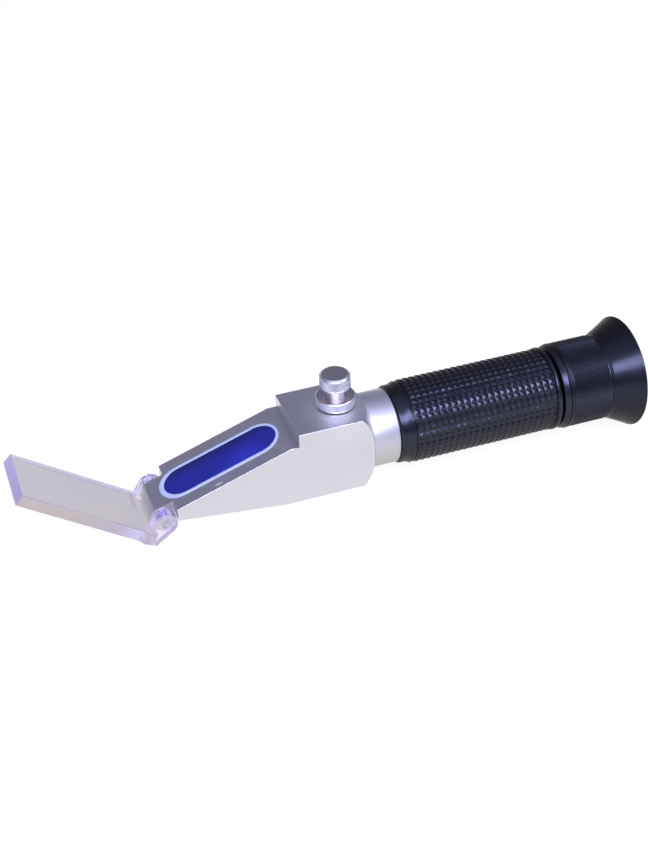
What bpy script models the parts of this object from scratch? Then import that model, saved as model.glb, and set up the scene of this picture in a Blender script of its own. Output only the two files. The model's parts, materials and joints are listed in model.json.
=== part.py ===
"""Hand-held optical refractometer with its daylight plate open, built as separate pieces.

Metres, +Z up. The optical axis runs along +X towards the eye, and stations along it are
counted from the shoulder where the bare collar ends and the grip begins. The whole
instrument hangs from one empty, which puts the bottom centre of its box at the origin.
"""
import math

import bmesh
import bpy
from mathutils import Matrix, Vector

MM = 0.001
RADIAN = math.radians(1)

# General fits and facets
CLEARANCE = 0.3 * MM
OVERRUN = 6 * MM
MERGE = 0.001 * MM
LARGE_FACETS = 48
SMALL_FACETS = 24
ARC_STEPS = 6

# Block: the machined body that carries the prism, the screw and the cover
BLOCK_WIDTH = 26.9 * MM
BLOCK_TOP = 14.1 * MM
BLOCK_BOTTOM = 14.0 * MM
TOP_LENGTH = 27.6 * MM
STEP_HEIGHT = 4.9 * MM
LEDGE_LENGTH = 3.2 * MM
SLOPE_LENGTH = 43.7 * MM
SLOPE_ANGLE = 18.85 * RADIAN
FLAT_BOTTOM_LENGTH = 32.8 * MM
FRONT_HEIGHT = 4.75 * MM
REAR_ROUND = 10.9 * MM
REAR_ROUND_ANGLE = 16.4 * RADIAN
BORE_DEPTH = 24.0 * MM
POCKET_DEPTH = 3.1 * MM
NOSE_WIDTH = 16.2 * MM

# Prism window let into the slope
GLASS_RADIUS = 6.5 * MM
SEAL_WIDTH = 1.2 * MM
SEAL_DEPTH = 0.7 * MM
WINDOW_SETBACK = 4.9 * MM
WINDOW_REAR_SETBACK = 8.6 * MM
PRISM_PROUD = 0.5 * MM
EXIT_FACE_SETBACK = 9.5 * MM
EXIT_FACE_DEPTH = 2.5 * MM

# Cover: the clear daylight plate and its hinge
PLATE_WIDTH = 25.2 * MM
PLATE_THICKNESS = 4.05 * MM
PLATE_END_GAP = 1.3 * MM
PLATE_END_RAKE = 0.8 * MM
PLATE_OVERHANG = 0.8 * MM
HEEL_OVERHANG = 1.2 * MM
FOOT_CREST_LENGTH = 4.4 * MM
FOOT_LENGTH = 6.8 * MM
FOOT_DEPTH = 0.7 * MM
END_BEVEL_LENGTH = 1.7 * MM
END_BEVEL_DEPTH = 0.8 * MM
EAR_RADIUS = 3.9 * MM
HINGE_DEPTH = 4.24 * MM
KNUCKLE_RADIUS = 4.42 * MM
PIN_RADIUS = 1.2 * MM
OPEN_ANGLE = 126.15 * RADIAN

# Calibration screw, its lock ring and the spring under the lens carriage
SCREW_SETBACK = 9.54 * MM
SCREW_RADIUS = 3.7 * MM
SCREW_TIP_RADIUS = 1.8 * MM
SCREW_TIP_LENGTH = 1.2 * MM
HEAD_RADIUS = 5.5 * MM
HEAD_TOP_RADIUS = 4.2 * MM
HEAD_HEIGHT = 5.15 * MM
HEAD_CHAMFER = 0.85 * MM
HEAD_LIFT = 7.65 * MM
LOCK_RING_RADIUS = 7.0 * MM
LOCK_RING_HEIGHT = 3.2 * MM
LOCK_RING_LIFT = 0.9 * MM
LOCK_RING_CHAMFER = 0.4 * MM
PLUG_RADIUS = 2.7 * MM
PLUG_LENGTH = 1.5 * MM
PLUG_SLOT_WIDTH = 0.7 * MM
PLUG_SLOT_DEPTH = 0.6 * MM
SPRING_RADIUS = 1.6 * MM
SPRING_WIRE = 0.22 * MM
SPRING_TURNS = 3
SPRING_POINTS = 10

# Lens carriage inside the block
CARRIAGE_PLAY = 1.4 * MM
CARRIAGE_LENGTH = 7.0 * MM
CARRIAGE_WALL = 3.1 * MM
CARRIAGE_FLAT_DEPTH = 1.0 * MM
OBJECTIVE_EDGE = 1.8 * MM
OBJECTIVE_BULGE = 0.8 * MM
SEAT_LENGTH = 1.2 * MM
SEAT_WIDTH = 0.9 * MM
OBJECTIVE_RING_LENGTH = 1.2 * MM

# Tube with the bare collar, and what stands inside it
COLLAR_PROUD = 0.05 * MM
COLLAR_LENGTH = 9.4 * MM
COLLAR_STEP = 1.1 * MM
SPIGOT_LENGTH = 4.5 * MM
SPIGOT_STEP = 2.8 * MM
TUBE_LENGTH = 58.0 * MM
TUBE_WALL = 2.9 * MM
BAFFLE_PLACE = 6.0 * MM
BAFFLE_LENGTH = 2.0 * MM
BAFFLE_WIDTH = 3.7 * MM
RETICLE_SETBACK = 2.0 * MM
RETICLE_THICKNESS = 1.5 * MM
RETICLE_CELL_LENGTH = 8.0 * MM
RETICLE_CELL_WALL = 1.9 * MM
RETICLE_RING_LENGTH = 1.8 * MM

# Ribbed rubber grip
GRIP_OVERHANG = 1.7 * MM
GRIP_WALL = 2.45 * MM
GRIP_BAND_WALL = 1.55 * MM
GRIP_BAND_LENGTH = 3.4 * MM
GRIP_NOSE_ROUND = 0.7 * MM
GRIP_BEAD_WALL = 2.25 * MM
GRIP_BEAD_WIDTH = 1.6 * MM
GRIP_GROOVE_WALL = 1.6 * MM
GRIP_GROOVE_WIDTH = 0.5 * MM
GRIP_END_WALL = 2.75 * MM
GRIP_END_WIDTH = 1.4 * MM

# Focusing eyepiece
BUSH_SPIGOT_LENGTH = 10.0 * MM
BUSH_FLANGE_LENGTH = 2.2 * MM
BUSH_NOSE_STEP = 1.2 * MM
BUSH_NOSE_LENGTH = 9.5 * MM
BUSH_WALL = 0.6 * MM
BARREL_WALL = 1.0 * MM
BARREL_REACH = 13.3 * MM
BARREL_FLANGE_STEP = 2.7 * MM
BARREL_FLANGE_LENGTH = 2.0 * MM
BARREL_RING_LENGTH = 1.5 * MM
BARREL_RING_WALL = 2.4 * MM
BARREL_LIP_LENGTH = 3.7 * MM
BARREL_LIP_WIDTH = 1.0 * MM
LENS_EDGE = 2.0 * MM
LENS_BULGE = 1.1 * MM
SPACER_LENGTH = 16.0 * MM
SPACER_WALL = 0.8 * MM
EYE_RING_LENGTH = 1.8 * MM
EYE_RING_WALL = 1.3 * MM
GUIDE_PIN_RADIUS = 0.8 * MM
GUIDE_PIN_PLACE = 5.2 * MM
TRAVEL_IN = 1.5 * MM
TRAVEL_OUT = 4.0 * MM

# Focus ring and eyecup
FOCUS_GAP = 1.1 * MM
RING_LENGTH = 19.0 * MM
RING_WALL = 3.45 * MM
RING_TAPER = 0.35 * MM
RING_RIDGE_WIDTH = 0.9 * MM
RING_RIDGE_PLACE = 2.2 * MM
RING_NOSE_LENGTH = 1.5 * MM
RING_NOSE_STEP = 0.6 * MM
RING_GROOVE_DEPTH = 0.3 * MM
RING_WEB_LENGTH = 4.0 * MM
HUB_WALL = 1.2 * MM
HUB_LENGTH = 3.0 * MM
EYECUP_LENGTH = 10.9 * MM
EYECUP_NECK = 0.8 * MM
EYECUP_PROUD = 0.15 * MM
EYECUP_FLARE = 4.95 * MM
RIM_LIP = 0.8 * MM
BOWL_FLOOR_STEP = 3.3 * MM
BOWL_FLOOR_THICKNESS = 1.0 * MM

# Stations that follow from the sizes above
BLOCK_REAR = -(COLLAR_LENGTH + CLEARANCE)
STEP_WALL = BLOCK_REAR - TOP_LENGTH
BEND = STEP_WALL - LEDGE_LENGTH
LEDGE_HEIGHT = BLOCK_TOP - STEP_HEIGHT
SLOPE_UP = Vector((math.cos(SLOPE_ANGLE), 0, math.sin(SLOPE_ANGLE)))
SLOPE_OUT = Vector((-math.sin(SLOPE_ANGLE), 0, math.cos(SLOPE_ANGLE)))
SLOPE_FOOT = Vector((BEND, 0, LEDGE_HEIGHT)) - SLOPE_UP * SLOPE_LENGTH
NOTCH_WALL = SLOPE_FOOT.x
HINGE_SETBACK = EAR_RADIUS + CLEARANCE
HINGE_ALONG = -(HINGE_SETBACK + HINGE_DEPTH * math.sin(SLOPE_ANGLE)) / math.cos(SLOPE_ANGLE)
HINGE = SLOPE_FOOT + SLOPE_UP * HINGE_ALONG - SLOPE_OUT * HINGE_DEPTH
PLATE_LIFT = PRISM_PROUD + CLEARANCE
FACE_OFFSET = HINGE_DEPTH + PLATE_LIFT
PLATE_END = STEP_WALL - PLATE_END_GAP + PLATE_LIFT * math.sin(SLOPE_ANGLE)
PLATE_REACH = (PLATE_END - SLOPE_FOOT.x) / math.cos(SLOPE_ANGLE) - HINGE_ALONG
SCREW_PLACE = BLOCK_REAR - SCREW_SETBACK
WINDOW_SPAN = SLOPE_LENGTH - WINDOW_SETBACK - WINDOW_REAR_SETBACK
POCKET_FLOOR = SLOPE_FOOT.z - POCKET_DEPTH
BEARING_RADIUS = GLASS_RADIUS + CLEARANCE
POCKET_RADIUS = BEARING_RADIUS + SEAL_WIDTH + CLEARANCE
COLLAR_RADIUS = BLOCK_WIDTH / 2 + COLLAR_PROUD
BORE_RADIUS = COLLAR_RADIUS - SPIGOT_STEP + CLEARANCE
CARRIAGE_RADIUS = BORE_RADIUS - CARRIAGE_PLAY
CARRIAGE_FLAT = CARRIAGE_RADIUS - CARRIAGE_FLAT_DEPTH
LIGHT_BORE_RADIUS = CARRIAGE_RADIUS - CARRIAGE_WALL
OBJECTIVE_RADIUS = LIGHT_BORE_RADIUS - CLEARANCE
TUBE_RADIUS = COLLAR_RADIUS - COLLAR_STEP
TUBE_BORE = TUBE_RADIUS - TUBE_WALL
CELL_RADIUS = TUBE_BORE - CLEARANCE
BAFFLE_HOLE = CELL_RADIUS - BAFFLE_WIDTH
RETICLE_RADIUS = CELL_RADIUS - RETICLE_CELL_WALL - CLEARANCE
RETICLE_PLACE = TUBE_LENGTH - BUSH_SPIGOT_LENGTH - RETICLE_SETBACK - RETICLE_CELL_LENGTH
BARREL_RADIUS = CELL_RADIUS - BUSH_WALL - CLEARANCE
BARREL_FLANGE_RADIUS = BARREL_RADIUS + BARREL_FLANGE_STEP
BUSH_NOSE_RADIUS = TUBE_RADIUS - BUSH_NOSE_STEP
BUSH_NOSE_START = TUBE_LENGTH + CLEARANCE + BUSH_FLANGE_LENGTH
BUSH_NOSE_END = BUSH_NOSE_START + BUSH_NOSE_LENGTH
GRIP_START = CLEARANCE
GRIP_BORE = TUBE_RADIUS + CLEARANCE
GRIP_END = BUSH_NOSE_START + GRIP_OVERHANG
HUB_RADIUS = BARREL_FLANGE_RADIUS + CLEARANCE + HUB_WALL
RING_RADIUS = HUB_RADIUS + RING_WALL
RING_EDGE_RADIUS = RING_RADIUS - RING_TAPER
EYECUP_RADIUS = RING_EDGE_RADIUS + EYECUP_PROUD
RIM_RADIUS = EYECUP_RADIUS + EYECUP_FLARE
RING_START = GRIP_END + FOCUS_GAP
RING_END = RING_START + RING_LENGTH
HUB_END = RING_END + HUB_LENGTH
EYECUP_START = RING_END + CLEARANCE
RIM_END = EYECUP_START + EYECUP_LENGTH
BARREL_BORE = BARREL_RADIUS - BARREL_WALL
LENS_RADIUS = BARREL_BORE - CLEARANCE
BARREL_FLANGE_START = RING_END - BARREL_FLANGE_LENGTH - CLEARANCE - CLEARANCE
BARREL_START = RING_START - BARREL_REACH
GUIDE_PIN_STATION = BUSH_NOSE_START + GUIDE_PIN_PLACE


def clear_scene():
    for thing in list(bpy.data.objects):
        bpy.data.objects.remove(thing, do_unlink=True)


def make_material(name, colour, roughness, metallic):
    material = bpy.data.materials.new(name)
    material.use_nodes = True
    shader = material.node_tree.nodes["Principled BSDF"]
    shader.inputs["Base Color"].default_value = (*colour, 1)
    shader.inputs["Roughness"].default_value = roughness
    shader.inputs["Metallic"].default_value = metallic
    return material


SATIN = ((0.62, 0.61, 0.64), 0.38, 1)
POLISHED = ((0.80, 0.80, 0.83), 0.12, 1)
STEEL = ((0.55, 0.55, 0.57), 0.3, 1)
BLACKENED = ((0.02, 0.02, 0.022), 0.6, 0.4)
RUBBER = ((0.012, 0.012, 0.015), 0.55, 0)
RING_BLACK = ((0.015, 0.015, 0.018), 0.45, 0)
CLEAR = ((0.75, 0.73, 0.80), 0.08, 0)
PRISM_BLUE = ((0.02, 0.03, 0.30), 0.06, 0)
WHITE_SEAL = ((0.60, 0.66, 0.85), 0.5, 0)
LENS_GLASS = ((0.70, 0.78, 0.78), 0.05, 0)


def add_empty(name, parent=None, location=(0, 0, 0), turn=0):
    """An empty that carries pieces; turn is about +Y."""
    empty = bpy.data.objects.new(name, None)
    bpy.context.collection.objects.link(empty)
    empty.parent = parent
    empty.location = location
    empty.rotation_euler = (0, turn, 0)
    return empty


def finish_piece(name, bm, parent, finish, location=(0, 0, 0)):
    """Turns a bmesh into a named object with outward faces and its own material."""
    bmesh.ops.remove_doubles(bm, verts=bm.verts, dist=MERGE)
    bmesh.ops.recalc_face_normals(bm, faces=bm.faces)
    mesh = bpy.data.meshes.new(name)
    bm.to_mesh(mesh)
    bm.free()
    mesh.shade_smooth()
    mesh.set_sharp_from_angle(angle=30 * RADIAN)
    piece = bpy.data.objects.new(name, mesh)
    bpy.context.collection.objects.link(piece)
    piece.parent = parent
    piece.location = location
    if finish:
        piece.data.materials.append(make_material(name + "_finish", *finish))
    return piece


def turned_mesh(profile, facets, upright=False):
    """Spins a list of (place along the axis, radius) round X, or round Z if upright.

    A profile that starts and ends on the axis makes a solid, any other one a ring.
    """
    bm = bmesh.new()
    points = [bm.verts.new((place, 0, radius)) for place, radius in profile]
    solid = profile[0][1] == 0 and profile[-1][1] == 0
    pairs = list(zip(points, points[1:]))
    if not solid:
        pairs.append((points[-1], points[0]))
    edges = [bm.edges.new(pair) for pair in pairs]
    bmesh.ops.spin(bm, geom=points + edges, cent=(0, 0, 0), axis=(1, 0, 0),
                   angle=math.tau, steps=facets, use_merge=True)
    if upright:
        bmesh.ops.rotate(bm, verts=bm.verts, matrix=Matrix.Rotation(-math.pi / 2, 3, "Y"))
    return bm


def slab_mesh(outline, low, high):
    """Extrudes an outline of (x, z) points across from y = low to y = high."""
    bm = bmesh.new()
    face = bm.faces.new([bm.verts.new((x, low, z)) for x, z in outline])
    sweep = bmesh.ops.extrude_face_region(bm, geom=[face])
    moved = [item for item in sweep["geom"] if isinstance(item, bmesh.types.BMVert)]
    bmesh.ops.translate(bm, verts=moved, vec=(0, high - low, 0))
    return bm


def round_window_mesh(levels, closed=False):
    """Stacks straight-sided, round-ended rings; levels are (radius, height above the slope).

    The rings lie on the slope, with the front round's centre at the local origin. A closed
    stack joins its last ring to its first, which makes a frame instead of a solid.
    """
    bm = bmesh.new()
    half = SMALL_FACETS // 2
    rings = []
    for radius, height in levels:
        ring = []
        for centre, start in ((WINDOW_SPAN, -math.pi / 2), (0, math.pi / 2)):
            for step in range(half + 1):
                angle = start + math.pi * step / half
                place = (centre + radius * math.cos(angle), radius * math.sin(angle), height)
                ring.append(bm.verts.new(place))
        rings.append(ring)
    pairs = list(zip(rings, rings[1:]))
    if closed:
        pairs.append((rings[-1], rings[0]))
    else:
        bm.faces.new(rings[0])
        bm.faces.new(rings[-1])
    for ring, other in pairs:
        for index in range(len(ring)):
            after = (index + 1) % len(ring)
            bm.faces.new((ring[index], ring[after], other[after], other[index]))
    return bm


def add_boolean(piece, tool, operation):
    """Joins or cuts with a tool that stays in the scene as a hidden guide."""
    tool.hide_render = True
    tool.display_type = "WIRE"
    change = piece.modifiers.new(tool.name, "BOOLEAN")
    change.operation = operation
    change.solver = "EXACT"
    change.object = tool


def cross_hole(name, parent, place, radius, reach, direction, facets=SMALL_FACETS):
    """A round cutter through place, running reach both ways along Y or Z."""
    rod = turned_mesh([(-reach, 0), (-reach, radius), (reach, radius), (reach, 0)],
                      facets, upright=True)
    if direction == "Y":
        bmesh.ops.rotate(rod, verts=rod.verts, matrix=Matrix.Rotation(math.pi / 2, 3, "X"))
    return finish_piece(name, rod, parent, None, place)


def block_outline():
    """The full-width side view before the slope is planed off."""
    rise_start = BLOCK_REAR - FLAT_BOTTOM_LENGTH
    front_bottom = SLOPE_FOOT.z - FRONT_HEIGHT
    return [(BLOCK_REAR, -BLOCK_BOTTOM), (BLOCK_REAR, BLOCK_TOP), (STEP_WALL, BLOCK_TOP),
            (STEP_WALL, LEDGE_HEIGHT), (NOTCH_WALL, LEDGE_HEIGHT),
            (NOTCH_WALL, front_bottom), (rise_start, -BLOCK_BOTTOM)]


def rear_arc(rear_radius):
    """The turned profile of the block's rear end, from its crest back to the rear face."""
    centre_x = BLOCK_REAR - REAR_ROUND * math.cos(REAR_ROUND_ANGLE)
    centre_radius = rear_radius - REAR_ROUND * math.sin(REAR_ROUND_ANGLE)
    steps = 2 * ARC_STEPS
    sweep = math.pi / 2 - REAR_ROUND_ANGLE
    angles = [math.pi / 2 - sweep * step / steps for step in range(steps + 1)]
    return [(centre_x + REAR_ROUND * math.cos(angle),
             centre_radius + REAR_ROUND * math.sin(angle)) for angle in angles]


def nose_mesh(front_bottom):
    """The narrow nose: a hull round the hinge knuckle and a stub inside the block."""
    bm = bmesh.new()
    stub = NOTCH_WALL + HINGE_SETBACK
    wall_inset = CLEARANCE
    for side in (-NOSE_WIDTH / 2, NOSE_WIDTH / 2):
        for step in range(SMALL_FACETS):
            angle = math.tau * step / SMALL_FACETS
            bm.verts.new((HINGE.x + KNUCKLE_RADIUS * math.cos(angle), side,
                          HINGE.z + KNUCKLE_RADIUS * math.sin(angle)))
        for x in (NOTCH_WALL, stub):
            bm.verts.new((x, side, SLOPE_FOOT.z + KNUCKLE_RADIUS))
            bm.verts.new((x, side, front_bottom + wall_inset))
    bmesh.ops.convex_hull(bm, input=bm.verts)
    bmesh.ops.dissolve_limit(bm, angle_limit=RADIAN, verts=bm.verts, edges=bm.edges)
    return bm


def add_block(parent):
    outline = block_outline()
    half_width = BLOCK_WIDTH / 2
    block = finish_piece("prism_block", slab_mesh(outline, -half_width, half_width),
                         parent, SATIN)
    front_bottom = outline[5][1]
    nose = finish_piece("nose_form", nose_mesh(front_bottom), parent, None)
    add_boolean(block, nose, "UNION")

    planer_out = SLOPE_LENGTH
    planer = bmesh.new()
    bmesh.ops.create_cube(planer, size=1)
    reach = SLOPE_LENGTH + CLEARANCE + 2 * SLOPE_LENGTH
    bmesh.ops.scale(planer, verts=planer.verts, vec=(reach, 2 * BLOCK_WIDTH, planer_out))
    bmesh.ops.translate(planer, verts=planer.verts,
                        vec=(SLOPE_LENGTH + CLEARANCE - reach / 2, 0, planer_out / 2))
    planer_tool = finish_piece("slope_planer", planer, parent, None, SLOPE_FOOT)
    planer_tool.rotation_euler = (0, -SLOPE_ANGLE, 0)
    add_boolean(block, planer_tool, "DIFFERENCE")

    arc = rear_arc(half_width)
    far_front = HINGE.x - KNUCKLE_RADIUS - OVERRUN
    limit = [(far_front, 0), (far_front, arc[0][1])] + arc + [(BLOCK_REAR, 0)]
    limiter = finish_piece("rear_limiter", turned_mesh(limit, LARGE_FACETS), parent, None)
    add_boolean(block, limiter, "INTERSECT")

    bore = [(BLOCK_REAR + OVERRUN, 0), (BLOCK_REAR + OVERRUN, BORE_RADIUS),
            (BLOCK_REAR - BORE_DEPTH, BORE_RADIUS), (BLOCK_REAR - BORE_DEPTH, LIGHT_BORE_RADIUS),
            (BEND - EXIT_FACE_SETBACK - OVERRUN, LIGHT_BORE_RADIUS),
            (BEND - EXIT_FACE_SETBACK - OVERRUN, 0)]
    bore_tool = finish_piece("bore_cutter", turned_mesh(bore, SMALL_FACETS), parent, None)
    add_boolean(block, bore_tool, "DIFFERENCE")

    pocket = window_piece("pocket_cutter", [(POCKET_RADIUS, SLOPE_LENGTH),
                                            (POCKET_RADIUS, -SLOPE_LENGTH)], parent, None)
    keep_above(pocket, parent, "pocket_floor", POCKET_FLOOR)
    add_boolean(block, pocket, "DIFFERENCE")

    hinge_hole = cross_hole("hinge_cutter", parent, HINGE, PIN_RADIUS + CLEARANCE,
                            BLOCK_WIDTH, "Y")
    add_boolean(block, hinge_hole, "DIFFERENCE")
    screw_hole = cross_hole("screw_cutter", parent, (SCREW_PLACE, 0, BLOCK_TOP),
                            SCREW_RADIUS + CLEARANCE, OVERRUN, "Z")
    add_boolean(block, screw_hole, "DIFFERENCE")
    plug_hole = cross_hole("plug_cutter", parent, (SCREW_PLACE, 0, -BLOCK_BOTTOM),
                           PLUG_RADIUS + CLEARANCE, OVERRUN, "Z")
    add_boolean(block, plug_hole, "DIFFERENCE")
    return block


def window_piece(name, levels, parent, finish, closed=False):
    """A round-ended piece standing square to the slope at the prism window."""
    centre = SLOPE_FOOT + SLOPE_UP * WINDOW_SETBACK
    piece = finish_piece(name, round_window_mesh(levels, closed), parent, finish, centre)
    piece.rotation_euler = (0, -SLOPE_ANGLE, 0)
    return piece


def keep_above(piece, parent, name, height):
    """Keeps only what lies over a level floor."""
    reach = 2 * SLOPE_LENGTH
    outline = [(BEND - reach, height), (BEND + reach, height),
               (BEND + reach, height + reach), (BEND - reach, height + reach)]
    room = finish_piece(name, slab_mesh(outline, -BLOCK_WIDTH, BLOCK_WIDTH), parent, None)
    add_boolean(piece, room, "INTERSECT")


def add_prism(parent):
    seal_outer = BEARING_RADIUS + SEAL_WIDTH
    shoulder = -SEAL_DEPTH - CLEARANCE
    prism = window_piece("measuring_prism",
                         [(GLASS_RADIUS, PRISM_PROUD), (GLASS_RADIUS, shoulder),
                          (seal_outer, shoulder), (seal_outer, -SLOPE_LENGTH)],
                         parent, PRISM_BLUE)
    keep_above(prism, parent, "prism_floor", POCKET_FLOOR + CLEARANCE)
    face = BEND - EXIT_FACE_SETBACK
    under = (math.tan(SLOPE_ANGLE), LEDGE_HEIGHT - EXIT_FACE_DEPTH / math.cos(SLOPE_ANGLE))
    far = BEND + SLOPE_LENGTH
    outline = [(face, -BLOCK_TOP), (face, under[1] + (face - BEND) * under[0]),
               (far, under[1] + (far - BEND) * under[0]), (far, -BLOCK_TOP)]
    cutter = finish_piece("exit_face_cutter",
                          slab_mesh(outline, -BLOCK_WIDTH, BLOCK_WIDTH), parent, None)
    add_boolean(prism, cutter, "DIFFERENCE")
    window_piece("prism_seal",
                 [(BEARING_RADIUS, PRISM_PROUD), (BEARING_RADIUS, -SEAL_DEPTH),
                  (seal_outer, -SEAL_DEPTH), (seal_outer, PRISM_PROUD)],
                 parent, WHITE_SEAL, closed=True)


def plate_outlines():
    """Side views of the slab and of one ear, in the cover's own frame.

    The frame's origin is the hinge, +X runs along the plate to its free end and +Z points
    out of the face that stays outside when the cover is shut.
    """
    inner = FACE_OFFSET
    outer = FACE_OFFSET + PLATE_THICKNESS
    ear_front = (EAR_RADIUS, inner)
    bevel_start = (-PLATE_OVERHANG + END_BEVEL_LENGTH, inner)
    bevel_end = (-PLATE_OVERHANG, inner + END_BEVEL_DEPTH)
    heel = (-HEEL_OVERHANG, outer)
    foot_crest = (-HEEL_OVERHANG + FOOT_CREST_LENGTH, outer + FOOT_DEPTH)
    foot_end = (-HEEL_OVERHANG + FOOT_LENGTH, outer)
    slab = [(PLATE_REACH, inner), ear_front, bevel_start, bevel_end, heel, foot_crest,
            foot_end, (PLATE_REACH + PLATE_END_RAKE, outer)]
    heel_distance = math.hypot(*heel)
    heel_bearing = math.atan2(heel[1], heel[0])
    last = heel_bearing + math.acos(EAR_RADIUS / heel_distance)
    steps = 2 * ARC_STEPS
    turn = last - math.tau
    arc = [(EAR_RADIUS * math.cos(turn * step / steps), EAR_RADIUS * math.sin(turn * step / steps))
           for step in range(steps + 1)]
    ear = [ear_front] + arc + [heel, bevel_end, bevel_start]
    return slab, ear


def cell_mesh(cells, depths):
    """Welds cells into one solid; a cell is an outline and the two depths it lies between."""
    bm = bmesh.new()
    points = {}
    walls = {}

    def point(place, depth):
        key = (round(place[0] / MERGE), round(place[1] / MERGE), depth)
        if key not in points:
            points[key] = bm.verts.new((place[0], depths[depth], place[1]))
        return points[key]

    def wall(corners):
        key = frozenset(corners)
        walls[key] = None if key in walls else corners

    for outline, low, high in cells:
        wall([point(place, low) for place in outline])
        wall([point(place, high) for place in outline])
        for place, after in zip(outline, outline[1:] + outline[:1]):
            wall([point(place, low), point(after, low), point(after, high), point(place, high)])
    for corners in walls.values():
        if corners:
            bm.faces.new(corners)
    return bm


def add_cover(parent):
    hinge_axis = add_empty("cover_hinge_axis", parent, HINGE, -(SLOPE_ANGLE + OPEN_ANGLE))
    slab, ear = plate_outlines()
    side = PLATE_WIDTH / 2
    fork = NOSE_WIDTH / 2 + CLEARANCE
    depths = (-side, -fork, fork, side)
    cells = [(slab, 0, 1), (slab, 1, 2), (slab, 2, 3), (ear, 0, 1), (ear, 2, 3)]
    plate = finish_piece("daylight_plate", cell_mesh(cells, depths), hinge_axis, CLEAR)
    bore = cross_hole("ear_cutter", hinge_axis, (0, 0, 0), PIN_RADIUS + CLEARANCE,
                      BLOCK_WIDTH, "Y")
    add_boolean(plate, bore, "DIFFERENCE")
    reach = side - CLEARANCE
    pin = turned_mesh([(-reach, 0), (-reach, PIN_RADIUS), (reach, PIN_RADIUS), (reach, 0)],
                      SMALL_FACETS)
    bmesh.ops.rotate(pin, verts=pin.verts, matrix=Matrix.Rotation(math.pi / 2, 3, "Z"))
    finish_piece("hinge_pin", pin, parent, STEEL, HINGE)
    return hinge_axis


def add_calibration(parent):
    """The screw, whose origin is on its axis at the block's top, its ring and its spring."""
    axis = add_empty("calibration_axis", parent, (SCREW_PLACE, 0, BLOCK_TOP))
    tip = CARRIAGE_FLAT + CLEARANCE - BLOCK_TOP
    shoulder = tip + SCREW_TIP_LENGTH
    crown = HEAD_LIFT + HEAD_HEIGHT
    profile = [(tip, 0), (tip, SCREW_TIP_RADIUS), (shoulder, SCREW_RADIUS),
               (HEAD_LIFT, SCREW_RADIUS), (HEAD_LIFT, HEAD_RADIUS),
               (crown - HEAD_CHAMFER, HEAD_RADIUS), (crown, HEAD_TOP_RADIUS), (crown, 0)]
    finish_piece("calibration_screw", turned_mesh(profile, LARGE_FACETS, upright=True),
                 axis, POLISHED)

    low = LOCK_RING_LIFT
    high = low + LOCK_RING_HEIGHT
    hole = SCREW_RADIUS + CLEARANCE
    edge = LOCK_RING_RADIUS - LOCK_RING_CHAMFER
    profile = [(low, hole), (low, edge), (low + LOCK_RING_CHAMFER, LOCK_RING_RADIUS),
               (high - LOCK_RING_CHAMFER, LOCK_RING_RADIUS), (high, edge), (high, hole)]
    finish_piece("lock_ring", turned_mesh(profile, LARGE_FACETS, upright=True), axis, POLISHED)

    plug_base = -BLOCK_BOTTOM + CLEARANCE
    plug_top = plug_base + PLUG_LENGTH
    profile = [(0, 0), (0, PLUG_RADIUS), (PLUG_LENGTH, PLUG_RADIUS), (PLUG_LENGTH, 0)]
    plug = finish_piece("spring_plug", turned_mesh(profile, SMALL_FACETS, upright=True),
                        parent, STEEL, (SCREW_PLACE, 0, plug_base))
    outline = [(-PLUG_SLOT_WIDTH / 2, -OVERRUN), (PLUG_SLOT_WIDTH / 2, -OVERRUN),
               (PLUG_SLOT_WIDTH / 2, PLUG_SLOT_DEPTH), (-PLUG_SLOT_WIDTH / 2, PLUG_SLOT_DEPTH)]
    slot = finish_piece("slot_cutter", slab_mesh(outline, -BORE_RADIUS, BORE_RADIUS),
                        parent, None, (SCREW_PLACE, 0, plug_base))
    add_boolean(plug, slot, "DIFFERENCE")
    add_spring(parent, plug_top + CLEARANCE, -CARRIAGE_FLAT - CLEARANCE)
    return axis


def add_spring(parent, low, high):
    """A coil of round wire between two levels under the lens carriage."""
    bottom = low + SPRING_WIRE
    rise = high - SPRING_WIRE - bottom
    count = SPRING_TURNS * SPRING_POINTS
    curve = bpy.data.curves.new("return_spring", "CURVE")
    curve.dimensions = "3D"
    curve.bevel_depth = SPRING_WIRE
    curve.bevel_resolution = 1
    curve.use_fill_caps = True
    spline = curve.splines.new("POLY")
    spline.points.add(count)
    for index in range(count + 1):
        angle = math.tau * index / SPRING_POINTS
        spline.points[index].co = (SPRING_RADIUS * math.cos(angle),
                                   SPRING_RADIUS * math.sin(angle),
                                   rise * index / count, 1)
    curve.materials.append(make_material("return_spring_finish", *STEEL))
    spring = bpy.data.objects.new("return_spring", curve)
    bpy.context.collection.objects.link(spring)
    spring.parent = parent
    spring.location = (SCREW_PLACE, 0, bottom)
    return spring


def lens_profile(start, edge, radius, bulge_front, bulge_back):
    """Half of a lens; its faces are shallow arcs that bulge from the edge's two ends."""
    def face(place, bulge, outward):
        steps = range(1, ARC_STEPS + 1)
        shares = [step / ARC_STEPS for step in steps]
        points = [(place + outward * bulge * (1 - share * share), radius * share)
                  for share in shares]
        return [(place + outward * bulge, 0)] + points

    front = face(start, bulge_front, -1)
    back = face(start + edge, bulge_back, 1)
    return front + back[::-1]


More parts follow.
